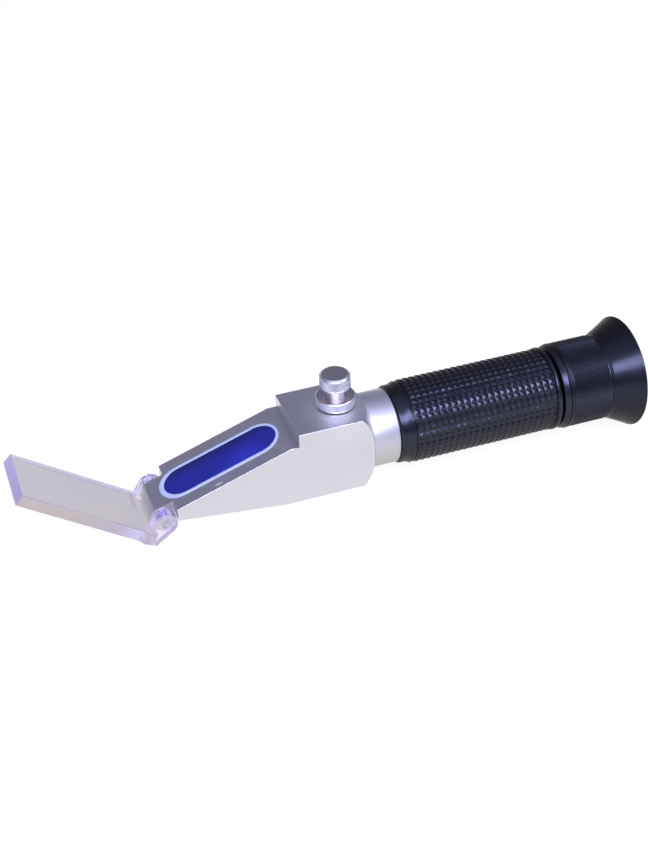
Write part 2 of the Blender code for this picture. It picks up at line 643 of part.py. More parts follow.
def add_carriage(parent):
    """The objective in its carriage, which the calibration screw pushes down."""
    carriage_slide = add_empty("carriage_slide", parent, (SCREW_PLACE, 0, 0))
    start = -CARRIAGE_LENGTH / 2
    end = CARRIAGE_LENGTH / 2
    hole = OBJECTIVE_RADIUS + CLEARANCE
    seat = start + SEAT_LENGTH
    profile = [(start, hole - SEAT_WIDTH), (start, CARRIAGE_RADIUS), (end, CARRIAGE_RADIUS),
               (end, hole), (seat, hole), (seat, hole - SEAT_WIDTH)]
    carriage = finish_piece("objective_carriage", turned_mesh(profile, SMALL_FACETS),
                            carriage_slide, BLACKENED)
    wide = CARRIAGE_RADIUS + OVERRUN
    outline = [(-wide, -CARRIAGE_FLAT), (wide, -CARRIAGE_FLAT),
               (wide, CARRIAGE_FLAT), (-wide, CARRIAGE_FLAT)]
    flats = finish_piece("carriage_flats", slab_mesh(outline, -wide, wide),
                         carriage_slide, None)
    add_boolean(carriage, flats, "INTERSECT")
    lens_start = seat + CLEARANCE
    bulge = OBJECTIVE_BULGE
    profile = lens_profile(lens_start, OBJECTIVE_EDGE, OBJECTIVE_RADIUS, bulge, bulge)
    finish_piece("objective_lens", turned_mesh(profile, SMALL_FACETS),
                 carriage_slide, LENS_GLASS)
    ring_start = lens_start + OBJECTIVE_EDGE + CLEARANCE
    ring_end = ring_start + OBJECTIVE_RING_LENGTH
    inner = OBJECTIVE_RADIUS - SEAT_WIDTH
    profile = [(ring_start, inner), (ring_start, OBJECTIVE_RADIUS),
               (ring_end, OBJECTIVE_RADIUS), (ring_end, inner)]
    finish_piece("objective_ring", turned_mesh(profile, SMALL_FACETS),
                 carriage_slide, BLACKENED)
    return carriage_slide


def add_tube(parent):
    spigot = COLLAR_RADIUS - SPIGOT_STEP
    front = BLOCK_REAR - SPIGOT_LENGTH
    profile = [(front, TUBE_BORE), (front, spigot), (-COLLAR_LENGTH, spigot),
               (-COLLAR_LENGTH, COLLAR_RADIUS), (0, COLLAR_RADIUS), (0, TUBE_RADIUS),
               (TUBE_LENGTH, TUBE_RADIUS), (TUBE_LENGTH, TUBE_BORE)]
    finish_piece("main_tube", turned_mesh(profile, LARGE_FACETS), parent, SATIN)

    baffle_end = BAFFLE_PLACE + BAFFLE_LENGTH
    profile = [(BAFFLE_PLACE, BAFFLE_HOLE), (BAFFLE_PLACE, CELL_RADIUS),
               (baffle_end, CELL_RADIUS), (baffle_end, BAFFLE_HOLE + BAFFLE_LENGTH / 2)]
    finish_piece("light_baffle", turned_mesh(profile, SMALL_FACETS), parent, BLACKENED)

    cell_end = RETICLE_PLACE + RETICLE_CELL_LENGTH
    hole = RETICLE_RADIUS + CLEARANCE
    seat = RETICLE_PLACE + SEAT_LENGTH
    profile = [(RETICLE_PLACE, hole - SEAT_WIDTH), (RETICLE_PLACE, CELL_RADIUS),
               (cell_end, CELL_RADIUS), (cell_end, hole), (seat, hole),
               (seat, hole - SEAT_WIDTH)]
    finish_piece("reticle_cell", turned_mesh(profile, SMALL_FACETS), parent, BLACKENED)
    glass = seat + CLEARANCE
    glass_end = glass + RETICLE_THICKNESS
    profile = [(glass, 0), (glass, RETICLE_RADIUS), (glass_end, RETICLE_RADIUS),
               (glass_end, 0)]
    finish_piece("reticle", turned_mesh(profile, SMALL_FACETS), parent, LENS_GLASS)
    ring = glass_end + CLEARANCE
    ring_end = ring + RETICLE_RING_LENGTH
    inner = RETICLE_RADIUS - SEAT_WIDTH
    profile = [(ring, inner), (ring, RETICLE_RADIUS), (ring_end, RETICLE_RADIUS),
               (ring_end, inner)]
    finish_piece("reticle_ring", turned_mesh(profile, SMALL_FACETS), parent, BLACKENED)


def add_grip(parent):
    """The rubber sleeve: a smooth band, a bead, the gripping length and an end bead."""
    knurled = GRIP_BORE + GRIP_WALL
    band = GRIP_BORE + GRIP_BAND_WALL
    bead = GRIP_BORE + GRIP_BEAD_WALL
    groove = GRIP_BORE + GRIP_GROOVE_WALL
    end_radius = GRIP_BORE + GRIP_END_WALL
    band_end = GRIP_START + GRIP_BAND_LENGTH
    bead_end = band_end + GRIP_BEAD_WIDTH
    knurl_start = bead_end + GRIP_GROOVE_WIDTH
    end_bead = GRIP_END - GRIP_END_WIDTH
    soft = GRIP_GROOVE_WIDTH / 2
    nose = GRIP_NOSE_ROUND
    profile = [(GRIP_START, GRIP_BORE), (GRIP_START, band - nose), (GRIP_START + nose, band),
               (band_end, band), (band_end + soft, bead), (bead_end, bead),
               (bead_end, groove), (knurl_start, groove), (knurl_start, knurled),
               (end_bead, knurled), (end_bead + soft, end_radius),
               (GRIP_END - soft, end_radius), (GRIP_END, end_radius - soft),
               (GRIP_END, GRIP_BORE)]
    finish_piece("grip_sleeve", turned_mesh(profile, LARGE_FACETS), parent, RUBBER)


def add_bush(parent):
    """The threaded bush in the tube's end, with the pin that keeps the barrel from turning."""
    hole = BARREL_RADIUS + CLEARANCE
    start = TUBE_LENGTH - BUSH_SPIGOT_LENGTH
    flange = TUBE_LENGTH + CLEARANCE
    profile = [(start, hole), (start, CELL_RADIUS), (flange, CELL_RADIUS), (flange, TUBE_RADIUS),
               (BUSH_NOSE_START, TUBE_RADIUS), (BUSH_NOSE_START, BUSH_NOSE_RADIUS),
               (BUSH_NOSE_END, BUSH_NOSE_RADIUS), (BUSH_NOSE_END, hole)]
    bush = finish_piece("focus_bush", turned_mesh(profile, LARGE_FACETS), parent,
                        BLACKENED)
    middle = (GUIDE_PIN_STATION, 0, -(BUSH_NOSE_RADIUS + hole) / 2)
    pin_hole = cross_hole("guide_pin_cutter", parent, middle, GUIDE_PIN_RADIUS + CLEARANCE,
                          BUSH_NOSE_RADIUS - hole, "Z")
    add_boolean(bush, pin_hole, "DIFFERENCE")
    low = -(BUSH_NOSE_RADIUS - CLEARANCE)
    high = -(LENS_RADIUS + CLEARANCE + CLEARANCE + CLEARANCE)
    profile = [(low, 0), (low, GUIDE_PIN_RADIUS), (high, GUIDE_PIN_RADIUS), (high, 0)]
    finish_piece("guide_pin", turned_mesh(profile, SMALL_FACETS, upright=True),
                 parent, STEEL, (GUIDE_PIN_STATION, 0, 0))


def add_eyepiece(parent):
    """The lens barrel, which slides along the tube's axis without turning."""
    eyepiece_slide = add_empty("eyepiece_slide", parent)
    flange_end = BARREL_FLANGE_START + BARREL_FLANGE_LENGTH
    lip_end = BARREL_START + BARREL_LIP_LENGTH
    lip = BARREL_BORE - BARREL_LIP_WIDTH
    profile = [(BARREL_START, lip), (BARREL_START, BARREL_RADIUS),
               (BARREL_FLANGE_START, BARREL_RADIUS),
               (BARREL_FLANGE_START, BARREL_FLANGE_RADIUS),
               (flange_end, BARREL_FLANGE_RADIUS), (flange_end, BARREL_BORE),
               (lip_end, BARREL_BORE), (lip_end, lip)]
    barrel = finish_piece("eyepiece_barrel", turned_mesh(profile, LARGE_FACETS),
                          eyepiece_slide, BLACKENED)
    half_slot = GUIDE_PIN_RADIUS + CLEARANCE
    slot_start = GUIDE_PIN_STATION - TRAVEL_OUT - half_slot
    slot_end = GUIDE_PIN_STATION + TRAVEL_IN + half_slot
    middle = -(BARREL_BORE + BARREL_RADIUS) / 2
    outline = [(slot_start, middle - BARREL_WALL), (slot_end, middle - BARREL_WALL),
               (slot_end, middle + BARREL_WALL), (slot_start, middle + BARREL_WALL)]
    slot = finish_piece("guide_slot_cutter", slab_mesh(outline, -half_slot, half_slot),
                        eyepiece_slide, None)
    add_boolean(barrel, slot, "DIFFERENCE")

    field_start = lip_end + LENS_BULGE + CLEARANCE
    profile = lens_profile(field_start, LENS_EDGE, LENS_RADIUS, LENS_BULGE, 0)
    finish_piece("field_lens", turned_mesh(profile, SMALL_FACETS), eyepiece_slide, LENS_GLASS)
    spacer_start = field_start + LENS_EDGE + CLEARANCE
    spacer_end = spacer_start + SPACER_LENGTH
    inner = LENS_RADIUS - SPACER_WALL
    profile = [(spacer_start, inner), (spacer_start, LENS_RADIUS),
               (spacer_end, LENS_RADIUS), (spacer_end, inner)]
    finish_piece("lens_spacer", turned_mesh(profile, SMALL_FACETS), eyepiece_slide, BLACKENED)
    eye_start = spacer_end + CLEARANCE
    profile = lens_profile(eye_start, LENS_EDGE, LENS_RADIUS, LENS_BULGE, 0)
    finish_piece("eye_lens", turned_mesh(profile, SMALL_FACETS), eyepiece_slide, LENS_GLASS)
    ring_start = eye_start + LENS_EDGE + CLEARANCE
    ring_end = ring_start + EYE_RING_LENGTH
    inner = LENS_RADIUS - EYE_RING_WALL
    profile = [(ring_start, inner), (ring_start, LENS_RADIUS), (ring_end, LENS_RADIUS),
               (ring_end, inner)]
    finish_piece("eye_lens_ring", turned_mesh(profile, SMALL_FACETS), eyepiece_slide, BLACKENED)
    return eyepiece_slide


def add_focus_ring(parent):
    """The ring turned to focus, and the ring in its rear that holds the barrel's flange."""
    front_bore = BUSH_NOSE_RADIUS + CLEARANCE
    web_bore = BARREL_RADIUS + CLEARANCE
    recess = BARREL_FLANGE_RADIUS + CLEARANCE
    web_end = BARREL_FLANGE_START - CLEARANCE
    web_start = web_end - RING_WEB_LENGTH
    ridge = RING_START + RING_RIDGE_PLACE
    soft = RING_GROOVE_DEPTH
    nose = RING_EDGE_RADIUS - RING_NOSE_STEP
    profile = [(RING_START, front_bore), (RING_START, nose - soft), (RING_START + soft, nose),
               (RING_START + RING_NOSE_LENGTH, RING_EDGE_RADIUS), (ridge, RING_EDGE_RADIUS),
               (ridge + soft, RING_RADIUS), (ridge + RING_RIDGE_WIDTH, RING_RADIUS),
               (ridge + RING_RIDGE_WIDTH + soft, RING_RADIUS - soft),
               (ridge + 2 * RING_RIDGE_WIDTH, RING_RADIUS - soft),
               (ridge + 2 * RING_RIDGE_WIDTH + soft, RING_RADIUS),
               (RING_END - soft, RING_EDGE_RADIUS), (RING_END, RING_EDGE_RADIUS - soft),
               (RING_END, HUB_RADIUS), (HUB_END, HUB_RADIUS), (HUB_END, recess),
               (web_end, recess), (web_end, web_bore), (web_start, web_bore),
               (web_start, front_bore)]
    finish_piece("focus_ring", turned_mesh(profile, LARGE_FACETS), parent, RING_BLACK)
    retainer = BARREL_FLANGE_START + BARREL_FLANGE_LENGTH + CLEARANCE
    retainer_end = retainer + BARREL_RING_LENGTH
    hole = BARREL_FLANGE_RADIUS - BARREL_RING_WALL
    profile = [(retainer, hole), (retainer, BARREL_FLANGE_RADIUS),
               (retainer_end, BARREL_FLANGE_RADIUS), (retainer_end, hole)]
    finish_piece("barrel_retainer", turned_mesh(profile, SMALL_FACETS), parent, BLACKENED)


def add_eyecup(parent):
    socket = HUB_RADIUS + CLEARANCE
    floor_front = HUB_END + CLEARANCE
    floor_back = floor_front + BOWL_FLOOR_THICKNESS
    lip_centre = RIM_END - RIM_LIP / 2
    lip = [(lip_centre + RIM_LIP / 2 * math.sin(angle),
            RIM_RADIUS - RIM_LIP / 2 + RIM_LIP / 2 * math.cos(angle))
           for angle in (math.pi * step / ARC_STEPS for step in range(ARC_STEPS + 1))]
    profile = [(EYECUP_START, socket), (EYECUP_START, EYECUP_RADIUS),
               (EYECUP_START + EYECUP_NECK, EYECUP_RADIUS)]
    hole = socket - BOWL_FLOOR_STEP
    profile += lip + [(floor_back, hole), (floor_front, hole), (floor_front, socket)]
    finish_piece("eyecup", turned_mesh(profile, LARGE_FACETS), parent, RUBBER)


def box_centre():
    """Where the middle of the whole instrument lies along the optical axis."""
    outer = FACE_OFFSET + PLATE_THICKNESS
    reach = PLATE_REACH + PLATE_END_RAKE
    bearing = SLOPE_ANGLE + OPEN_ANGLE
    ends = [HINGE.x + along * math.cos(bearing) - out * math.sin(bearing)
            for along, out in ((PLATE_REACH, FACE_OFFSET), (reach, outer))]
    return (min(ends) + RIM_END) / 2


def main():
    clear_scene()
    instrument = add_empty("instrument", None, (-box_centre(), 0, RIM_RADIUS))
    add_block(instrument)
    add_prism(instrument)
    add_cover(instrument)
    add_calibration(instrument)
    add_carriage(instrument)
    add_tube(instrument)
    add_grip(instrument)
    add_bush(instrument)
    add_eyepiece(instrument)
    focus_axis = add_empty("focus_axis", instrument)
    add_focus_ring(focus_axis)
    add_eyecup(focus_axis)
    bpy.context.view_layer.update()


main()
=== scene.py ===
# Hand-held optical refractometer on white paper, with its daylight plate open.
import json
import math
import random

import bmesh
import bpy
from mathutils import Matrix, Vector


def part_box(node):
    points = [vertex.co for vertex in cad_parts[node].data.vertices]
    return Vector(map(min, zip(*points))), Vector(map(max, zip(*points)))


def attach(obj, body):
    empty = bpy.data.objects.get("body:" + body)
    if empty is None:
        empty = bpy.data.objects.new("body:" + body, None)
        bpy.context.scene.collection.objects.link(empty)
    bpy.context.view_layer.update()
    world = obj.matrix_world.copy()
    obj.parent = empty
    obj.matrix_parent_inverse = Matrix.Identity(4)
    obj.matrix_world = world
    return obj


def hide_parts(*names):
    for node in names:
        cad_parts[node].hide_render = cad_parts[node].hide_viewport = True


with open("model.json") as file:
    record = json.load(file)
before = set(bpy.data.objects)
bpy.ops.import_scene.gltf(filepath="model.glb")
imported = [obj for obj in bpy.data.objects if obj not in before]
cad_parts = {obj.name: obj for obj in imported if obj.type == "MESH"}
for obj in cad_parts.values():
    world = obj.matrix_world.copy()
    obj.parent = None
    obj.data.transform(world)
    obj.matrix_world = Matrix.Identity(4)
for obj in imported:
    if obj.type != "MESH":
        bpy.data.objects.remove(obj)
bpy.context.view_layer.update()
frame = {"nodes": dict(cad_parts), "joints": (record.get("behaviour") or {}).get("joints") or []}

mm = 0.001
clearance = 0.3  # mm that the solids keep between fitted parts
print("frame loaded")

# Every piece is drawn in millimetres from the shoulder where the bare collar meets the grip,
# with the optical axis along +X, and is then set into the frame.
axisHeight = (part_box("eyecup")[0].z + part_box("eyecup")[1].z) / 2
shoulder = Vector((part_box("grip_sleeve")[0].x - clearance * mm, 0, axisHeight))
toFrame = Matrix.Translation(shoulder) @ Matrix.Scale(mm, 4)
hingeJoint = next(joint for joint in frame["joints"] if joint["name"] == "cover_hinge")
hingePoint = (Vector(hingeJoint["pos_m"]) - shoulder) / mm


def linear(hexColour):
    # sRGB hex, as a paint chart gives it, to the linear values that the shader wants
    shares = [int(hexColour[i:i + 2], 16) / 255 for i in (1, 3, 5)]
    return tuple(s / 12.92 if s <= 0.04045 else ((s + 0.055) / 1.055) ** 2.4 for s in shares) + (1,)


def scaleOf(millimetres):
    # texture scale for a pattern of that size
    return 1 / (millimetres * mm)


def addNode(material, kind, settings=None, links=None):
    # adds a node, sets its properties or inputs, and links its inputs to other nodes' outputs
    node = material.node_tree.nodes.new(kind)
    for name, value in (settings or {}).items():
        if hasattr(node, name):
            setattr(node, name, value)
        else:
            node.inputs[name].default_value = value
    for name, source in (links or {}).items():
        material.node_tree.links.new(source, node.inputs[name])
    return node


def newMaterial(name, **shaderValues):
    material = bpy.data.materials.new(name)
    material.use_nodes = True
    shader = material.node_tree.nodes["Principled BSDF"]
    for socket, value in shaderValues.items():
        shader.inputs[socket.replace("_", " ")].default_value = value
    return material, shader


def wire(material, shader, sources):
    for socket, source in sources.items():
        material.node_tree.links.new(source, shader.inputs[socket])


def objectPlace(material):
    return addNode(material, "ShaderNodeTexCoord").outputs["Object"]


def noiseOf(material, where, size, detail=2.0):
    # grain or clouds of that many mm
    return addNode(material, "ShaderNodeTexNoise", {"Scale": scaleOf(size), "Detail": detail},
                   {"Vector": where}).outputs["Fac"]


def spread(material, share, low, high):
    # 0 to 1 laid over another range
    return addNode(material, "ShaderNodeMapRange", {"To Min": low, "To Max": high},
                   {"Value": share}).outputs["Result"]


def fromTo(material, value, start, full):
    # 0 where the value is at its start, 1 where it is full
    return addNode(material, "ShaderNodeMapRange", {"From Min": start, "From Max": full},
                   {"Value": value}).outputs["Result"]


def easeTo(material, value, start, full, low=0.0, high=1.0):
    # the same with soft ends, laid over another range
    return addNode(material, "ShaderNodeMapRange",
                   {"interpolation_type": "SMOOTHSTEP", "From Min": start, "From Max": full,
                    "To Min": low, "To Max": high}, {"Value": value}).outputs["Result"]


def rampOf(material, share, stops):
    # a colour ramp with (position, shade) stops
    ramp = addNode(material, "ShaderNodeValToRGB", links={"Fac": share})
    marks = ramp.color_ramp.elements
    while len(marks) < len(stops):
        marks.new(1)
    for mark, (position, shade) in zip(marks, stops):
        mark.position, mark.color = position, linear(shade)
    return ramp.outputs["Color"]


def twoTone(material, share, low, high):
    return rampOf(material, share, ((0, low), (1, high)))


def paintOver(material, mask, colour, shade):
    # that shade over a colour, as far as the mask goes
    return addNode(material, "ShaderNodeMixRGB", {"Color2": linear(shade)},
                   {"Fac": mask, "Color1": colour}).outputs["Color"]


def relief(material, height, strength, depth):
    # fine relief of that many mm
    return addNode(material, "ShaderNodeBump", {"Strength": strength, "Distance": depth * mm},
                   {"Height": height}).outputs["Normal"]


def alongAxis(material, where, axis):
    # how far a place lies in a direction
    dot = addNode(material, "ShaderNodeVectorMath", {"operation": "DOT_PRODUCT"}, {0: where})
    dot.inputs[1].default_value = axis
    return dot.outputs["Value"]


def addObject(name, data):
    item = bpy.data.objects.new(name, data)
    bpy.context.scene.collection.objects.link(item)
    return item


def meshOf(name, bm):
    mesh = bpy.data.meshes.new(name)
    bm.to_mesh(mesh)
    bm.free()
    return mesh


def softenProfile(points, radius, closed):
    # rounds each corner of a turned profile, as a tool nose or a mould leaves it
    rounded = []
    count = len(points)
    for i, point in enumerate(points):
        here = Vector(point)
        if not closed and i in (0, count - 1):
            rounded.append(here)
            continue
        before, after = Vector(points[i - 1]), Vector(points[(i + 1) % count])
        back, ahead = before - here, after - here
        reach = min(radius, back.length * 0.45, ahead.length * 0.45)
        start, end = here + back.normalized() * reach, here + ahead.normalized() * reach
        for share in (0, 0.35, 0.65, 1):
            rounded.append(start.lerp(here, share).lerp(here.lerp(end, share), share))
    return rounded


def turned(profile, facets=192, upright=False, soften=0):
    # spins (along, radius) points round X, or round Z; from axis to axis it makes a solid
    bm = bmesh.new()
    closed = not (profile[0][1] == 0 and profile[-1][1] == 0)
    points = softenProfile(profile, soften, closed) if soften else [Vector(p) for p in profile]
    verts = [bm.verts.new((along, 0, radius)) for along, radius in points]
    pairs = list(zip(verts, verts[1:])) + ([(verts[-1], verts[0])] if closed else [])
    edges = [bm.edges.new(pair) for pair in pairs]
    bmesh.ops.spin(bm, geom=verts + edges, cent=(0, 0, 0), axis=(1, 0, 0),
                   angle=math.tau, steps=facets, use_merge=True)
    bmesh.ops.remove_doubles(bm, verts=bm.verts, dist=0.0005)
    if upright:
        bmesh.ops.rotate(bm, verts=bm.verts, matrix=Matrix.Rotation(-math.pi / 2, 3, "Y"))
    return bm


def slab(outline, low, high):
    # a plate with an (x, z) outline, from y = low to y = high
    bm = bmesh.new()
    face = bm.faces.new([bm.verts.new((x, low, z)) for x, z in outline])
    swept = bmesh.ops.extrude_face_region(bm, geom=[face])
    moved = [item for item in swept["geom"] if isinstance(item, bmesh.types.BMVert)]
    bmesh.ops.translate(bm, verts=moved, vec=(0, high - low, 0))
    return bm


def closeRing(bm, ring, other):
    # a band of faces between two rings with as many points
    for i in range(len(ring)):
        j = (i + 1) % len(ring)
        bm.faces.new((ring[i], ring[j], other[j], other[i]))


def windowStack(levels, closed=False):
    # rings with round ends, each (radius, height, front centre, rear centre), skinned in turn
    bm = bmesh.new()
    facets = 96
    rings = []
    for radius, height, front, rear in levels:
        ring = []
        for centre, start in ((rear, -math.pi / 2), (front, math.pi / 2)):
            for step in range(facets // 2 + 1):
                angle = start + math.tau * step / facets
                spot = (centre + radius * math.cos(angle), radius * math.sin(angle), height)
                ring.append(bm.verts.new(spot))
        rings.append(ring)
    pairs = list(zip(rings, rings[1:]))
    if closed:
        pairs.append((rings[-1], rings[0]))
    else:
        bm.faces.new(rings[0])
        bm.faces.new(rings[-1])
    for ring, other in pairs:
        closeRing(bm, ring, other)
    return bm


def place(name, bm, material=None, local=None, sharp=30):
    # millimetre mesh to a named piece in the frame
    bmesh.ops.recalc_face_normals(bm, faces=bm.faces)
    mesh = meshOf(name, bm)
    mesh.transform(toFrame @ local if local else toFrame)
    mesh.shade_smooth()
    mesh.set_sharp_from_angle(angle=math.radians(sharp))
    piece = addObject(name, mesh)
    if material:
        mesh.materials.append(material)
    return piece


def belong(piece, body, slot, *nodes):
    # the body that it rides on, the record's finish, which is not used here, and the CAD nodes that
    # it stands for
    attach(piece, body)
    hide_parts(*nodes)


def applyModifiers(piece):
    graph = bpy.context.evaluated_depsgraph_get()
    fresh = bpy.data.meshes.new_from_object(piece.evaluated_get(graph))
    piece.modifiers.clear()
    piece.data = fresh


def carve(piece, tool, operation="DIFFERENCE"):
    # a solid cut or join that is applied at once, so no tool is left in the scene
    change = piece.modifiers.new(operation.lower(), "BOOLEAN")
    change.operation, change.solver, change.object = operation, "EXACT", tool
    applyModifiers(piece)
    bpy.data.objects.remove(tool, do_unlink=True)


# angles in degrees, lengths in mm: edges sharper than roundOver are broken, and those sharper
# than creaseOver shade as an edge
deburr = {"roundOver": 28, "creaseOver": 8, "segments": 2, "longEdge": 4, "alongX": 0.99,
          "merge": 0.002, "flatWithin": 0.4, "faceWeight": 80}


def breakEdges(piece, width, shareElsewhere=1.0):
    # the fine chamfer that a deburring pass leaves on outer edges, which catches a line of
    # light, with a share of its width on the long edges that don't run along the instrument
    clean = bmesh.new()
    clean.from_mesh(piece.data)
    bmesh.ops.remove_doubles(clean, verts=clean.verts, dist=deburr["merge"] * mm)
    bmesh.ops.dissolve_limit(clean, angle_limit=math.radians(deburr["flatWithin"]),
                             verts=clean.verts, edges=clean.edges)
    weight = clean.edges.layers.float.new("bevel_weight_edge")
    sharpest = math.radians(deburr["roundOver"])
    for edge in clean.edges:
        if edge.is_manifold and edge.calc_face_angle_signed() > sharpest:
            run = (edge.verts[0].co - edge.verts[1].co).normalized()
            isLong = edge.calc_length() > deburr["longEdge"] * mm
            elsewhere = isLong and abs(run.x) < deburr["alongX"]
            edge[weight] = shareElsewhere if elsewhere else 1.0
    clean.to_mesh(piece.data)
    clean.free()
    piece.data.shade_smooth()
    piece.data.set_sharp_from_angle(angle=math.radians(deburr["creaseOver"]))
    bevel = piece.modifiers.new("deburr", "BEVEL")
    bevel.width, bevel.segments = width * mm, deburr["segments"]
    bevel.limit_method, bevel.use_clamp_overlap = "WEIGHT", False
    weigh = piece.modifiers.new("flatFaces", "WEIGHTED_NORMAL")
    weigh.mode, weigh.weight, weigh.keep_sharp = "FACE_AREA", deburr["faceWeight"], True
    applyModifiers(piece)


def setMaterials(piece, *materials):
    piece.data.materials.clear()
    for material in materials:
        piece.data.materials.append(material)


# sizes in mm of the patterns in the materials
finish = {
    "blastGrain": 0.35,  # glass-bead blasting leaves about 0.1, drawn coarser so it shows
    "metalCloud": 14.0,  # slow change of a finish over a large face
    "turningPitch": 0.25,  # tool marks on the collar and on faced metal
    "platingGrain": 0.4,  # orange peel of a plated turning
    "latheGrain": 0.3,  # turned steel
    "wireGrain": 0.2,  # drawn wire
    "anodisedGrain": 0.2,  # etch under black anodising
    "rubberMottle": 6.0,  # cloudy sheen on moulded rubber
    "rubberGrain": 0.3,  # mould texture
    "nylonGrain": 0.2,  # finer mould texture
    "groundGrain": 0.25,  # ground acrylic, about 0.05 in truth, drawn coarser so it shows
    "millMarks": 0.5,  # cutter marks on the plate's edges
    "flintDrift": 20.0,  # slow change of the prism's blue
    "sealCloud": 4.0,  # flow marks in the seal
    "polishCloud": 3.0,  # change of gloss on a polished lens
}


def beadBlastedAluminium(spots):
    # blasted, clear anodised aluminium: an even satin with a faint sparkle and blurred mirror,
    # with the given spots painted lighter and rougher; the broad one on top is a painted highlight
    material, shader = newMaterial("beadBlastedAluminium", Metallic=1.0)
    where = objectPlace(material)
    grain = noiseOf(material, where, finish["blastGrain"])
    cloud = noiseOf(material, where, finish["metalCloud"], 3.0)
    colour = twoTone(material, cloud, "#D0CFD3", "#DBDADD")
    rough = spread(material, cloud, 0.31, 0.37)
    for centre, radius, strength in spots:
        reach = addNode(material, "ShaderNodeVectorMath", {"operation": "DISTANCE"},
                        {"Vector": where})
        reach.inputs[1].default_value = centre
        # a lighter, rougher colour painted in each spot; on top it is a painted highlight
        lighterSpot = easeTo(material, reach.outputs["Value"], radius * 0.4, radius, strength, 0.0)
        colour = paintOver(material, lighterSpot, colour, "#FBFAFA")
        rougher = addNode(material, "ShaderNodeMath", {"operation": "MULTIPLY_ADD"},
                          {0: lighterSpot, 2: rough})
        rougher.inputs[1].default_value = 0.3
        rough = rougher.outputs["Value"]
    wire(material, shader, {"Base Color": colour, "Roughness": rough,
                            "Normal": relief(material, grain, 0.1, 0.05)})
    return material


def turnedAluminium():
    # fine-turned aluminium: soft bands of light across the curve, drawn out by the tool marks,
    # and a painted warm shade underneath, for the shadowed paper that it mirrors there
    material, shader = newMaterial("turnedAluminium", Metallic=1.0)
    where = objectPlace(material)
    height = addNode(material, "ShaderNodeSeparateXYZ", links={"Vector": where}).outputs["Z"]
    # painted shade: darker and warmer towards the bottom of the collar
    under = fromTo(material, height, axisHeight + 3 * mm, axisHeight - 12 * mm)
    paintedShadeTint = addNode(material, "ShaderNodeMixRGB",
                   {"Color1": linear("#CECED4"), "Color2": linear("#B2AC9A")}, {"Fac": under})
    # at scale 1 the bands of a wave texture lie 0.314 apart
    marks = addNode(material, "ShaderNodeTexWave",
                    {"Scale": 0.314 * scaleOf(finish["turningPitch"]), "Distortion": 0.6,
                     "Detail": 1.0, "bands_direction": "X"}, {"Vector": where}).outputs["Fac"]
    cloud = noiseOf(material, where, finish["metalCloud"])
    wire(material, shader, {"Base Color": paintedShadeTint.outputs["Color"],
                            "Roughness": spread(material, cloud, 0.44, 0.49),
                            "Normal": relief(material, marks, 0.06, 0.02)})
    return material


def plainMetal(name, colour, roughness, grainSize, strength):
    # one recipe for the small metal parts, with the grain that each surface has
    material, shader = newMaterial(name, Metallic=1.0, Base_Color=linear(colour))
    grain = noiseOf(material, objectPlace(material), grainSize)
    wire(material, shader,
         {"Roughness": spread(material, grain, roughness * 0.85, roughness * 1.15),
          "Normal": relief(material, grain, strength, 0.03)})
    return material


def mouldedBlack(name, roughness, shine, grainSize, strength):
    # black moulded rubber or nylon that clouds over a little from handling, with a painted sheen:
    # bluish face-on, and painted weaker and warm grey at a slant, which darkens its top and bottom
    material, shader = newMaterial(name, IOR=1.52)
    slant = addNode(material, "ShaderNodeLayerWeight", {"Blend": 0.5}).outputs["Facing"]
    # painted sheen: full and bluish face-on, weak and warm grey at a slant
    paintedSlantFade = fromTo(material, slant, 0.15, 0.7)
    paintedSheenTint = addNode(material, "ShaderNodeMixRGB",
                        {"Color1": linear("#D2D8FF"), "Color2": linear("#B4B2A6")},
                        {"Fac": paintedSlantFade})
    where = objectPlace(material)
    cloud = noiseOf(material, where, finish["rubberMottle"], 4.0)
    grain = noiseOf(material, where, grainSize)
    wire(material, shader,
         {"Base Color": twoTone(material, cloud, "#050507", "#0D0C0C"),  # dust and hand grease
          "Specular IOR Level": spread(material, paintedSlantFade, shine, shine * 0.1),
          "Specular Tint": paintedSheenTint.outputs["Color"],
          "Roughness": spread(material, cloud, roughness - 0.05, roughness + 0.05),
          "Normal": relief(material, grain, strength, 0.03)})
    return material


def acrylic(name, colours, roughness, through, atHinge, pattern, axis, paintedLightBands):
    # cast acrylic, ground on its faces and milled on its edges: grey lilac and cloudy, clear as
    # glass at the hinge, where it is polished, and with painted light and shade where it shows its
    # other edges, in bands of (mm from the hinge along the axis, shade)
    material, shader = newMaterial(name, IOR=1.49)
    where = objectPlace(material)
    drift = twoTone(material, noiseOf(material, where, finish["metalCloud"]), *colours)
    fromHinge = addNode(material, "ShaderNodeVectorMath", {"operation": "SUBTRACT"},
                        {"Vector": where})
    fromHinge.inputs[1].default_value = toFrame @ hingePoint
    along = alongAxis(material, fromHinge.outputs["Vector"], axis)
    outward = alongAxis(material, fromHinge.outputs["Vector"], coverOut)
    first, last = paintedLightBands[0][0], paintedLightBands[-1][0]
    # the painted light and shade, band by band
    shades = rampOf(material, fromTo(material, along, first * mm, last * mm),
                    [((spot - first) / (last - first), shade) for spot, shade in paintedLightBands])
    colour = addNode(material, "ShaderNodeMixRGB", {"blend_type": "MULTIPLY", "Fac": 1.0},
                     {"Color1": drift, "Color2": shades})
    polished = easeTo(material, outward, cover["polishEnd"] * mm, cover["polishFull"] * mm)
    grain = noiseOf(material, where, pattern)
    rough = spread(material, grain, roughness - 0.04, roughness + 0.04)
    smooth = addNode(material, "ShaderNodeMapRange", {"To Max": 0.32 - 0.3 * atHinge},
                     {"Value": polished, "To Min": rough})
    wire(material, shader, {"Base Color": colour.outputs["Color"],
                            "Transmission Weight": spread(material, polished, through, atHinge),
                            "Roughness": smooth.outputs["Result"],
                            "Normal": relief(material, grain, 0.05, 0.05)})
    return material


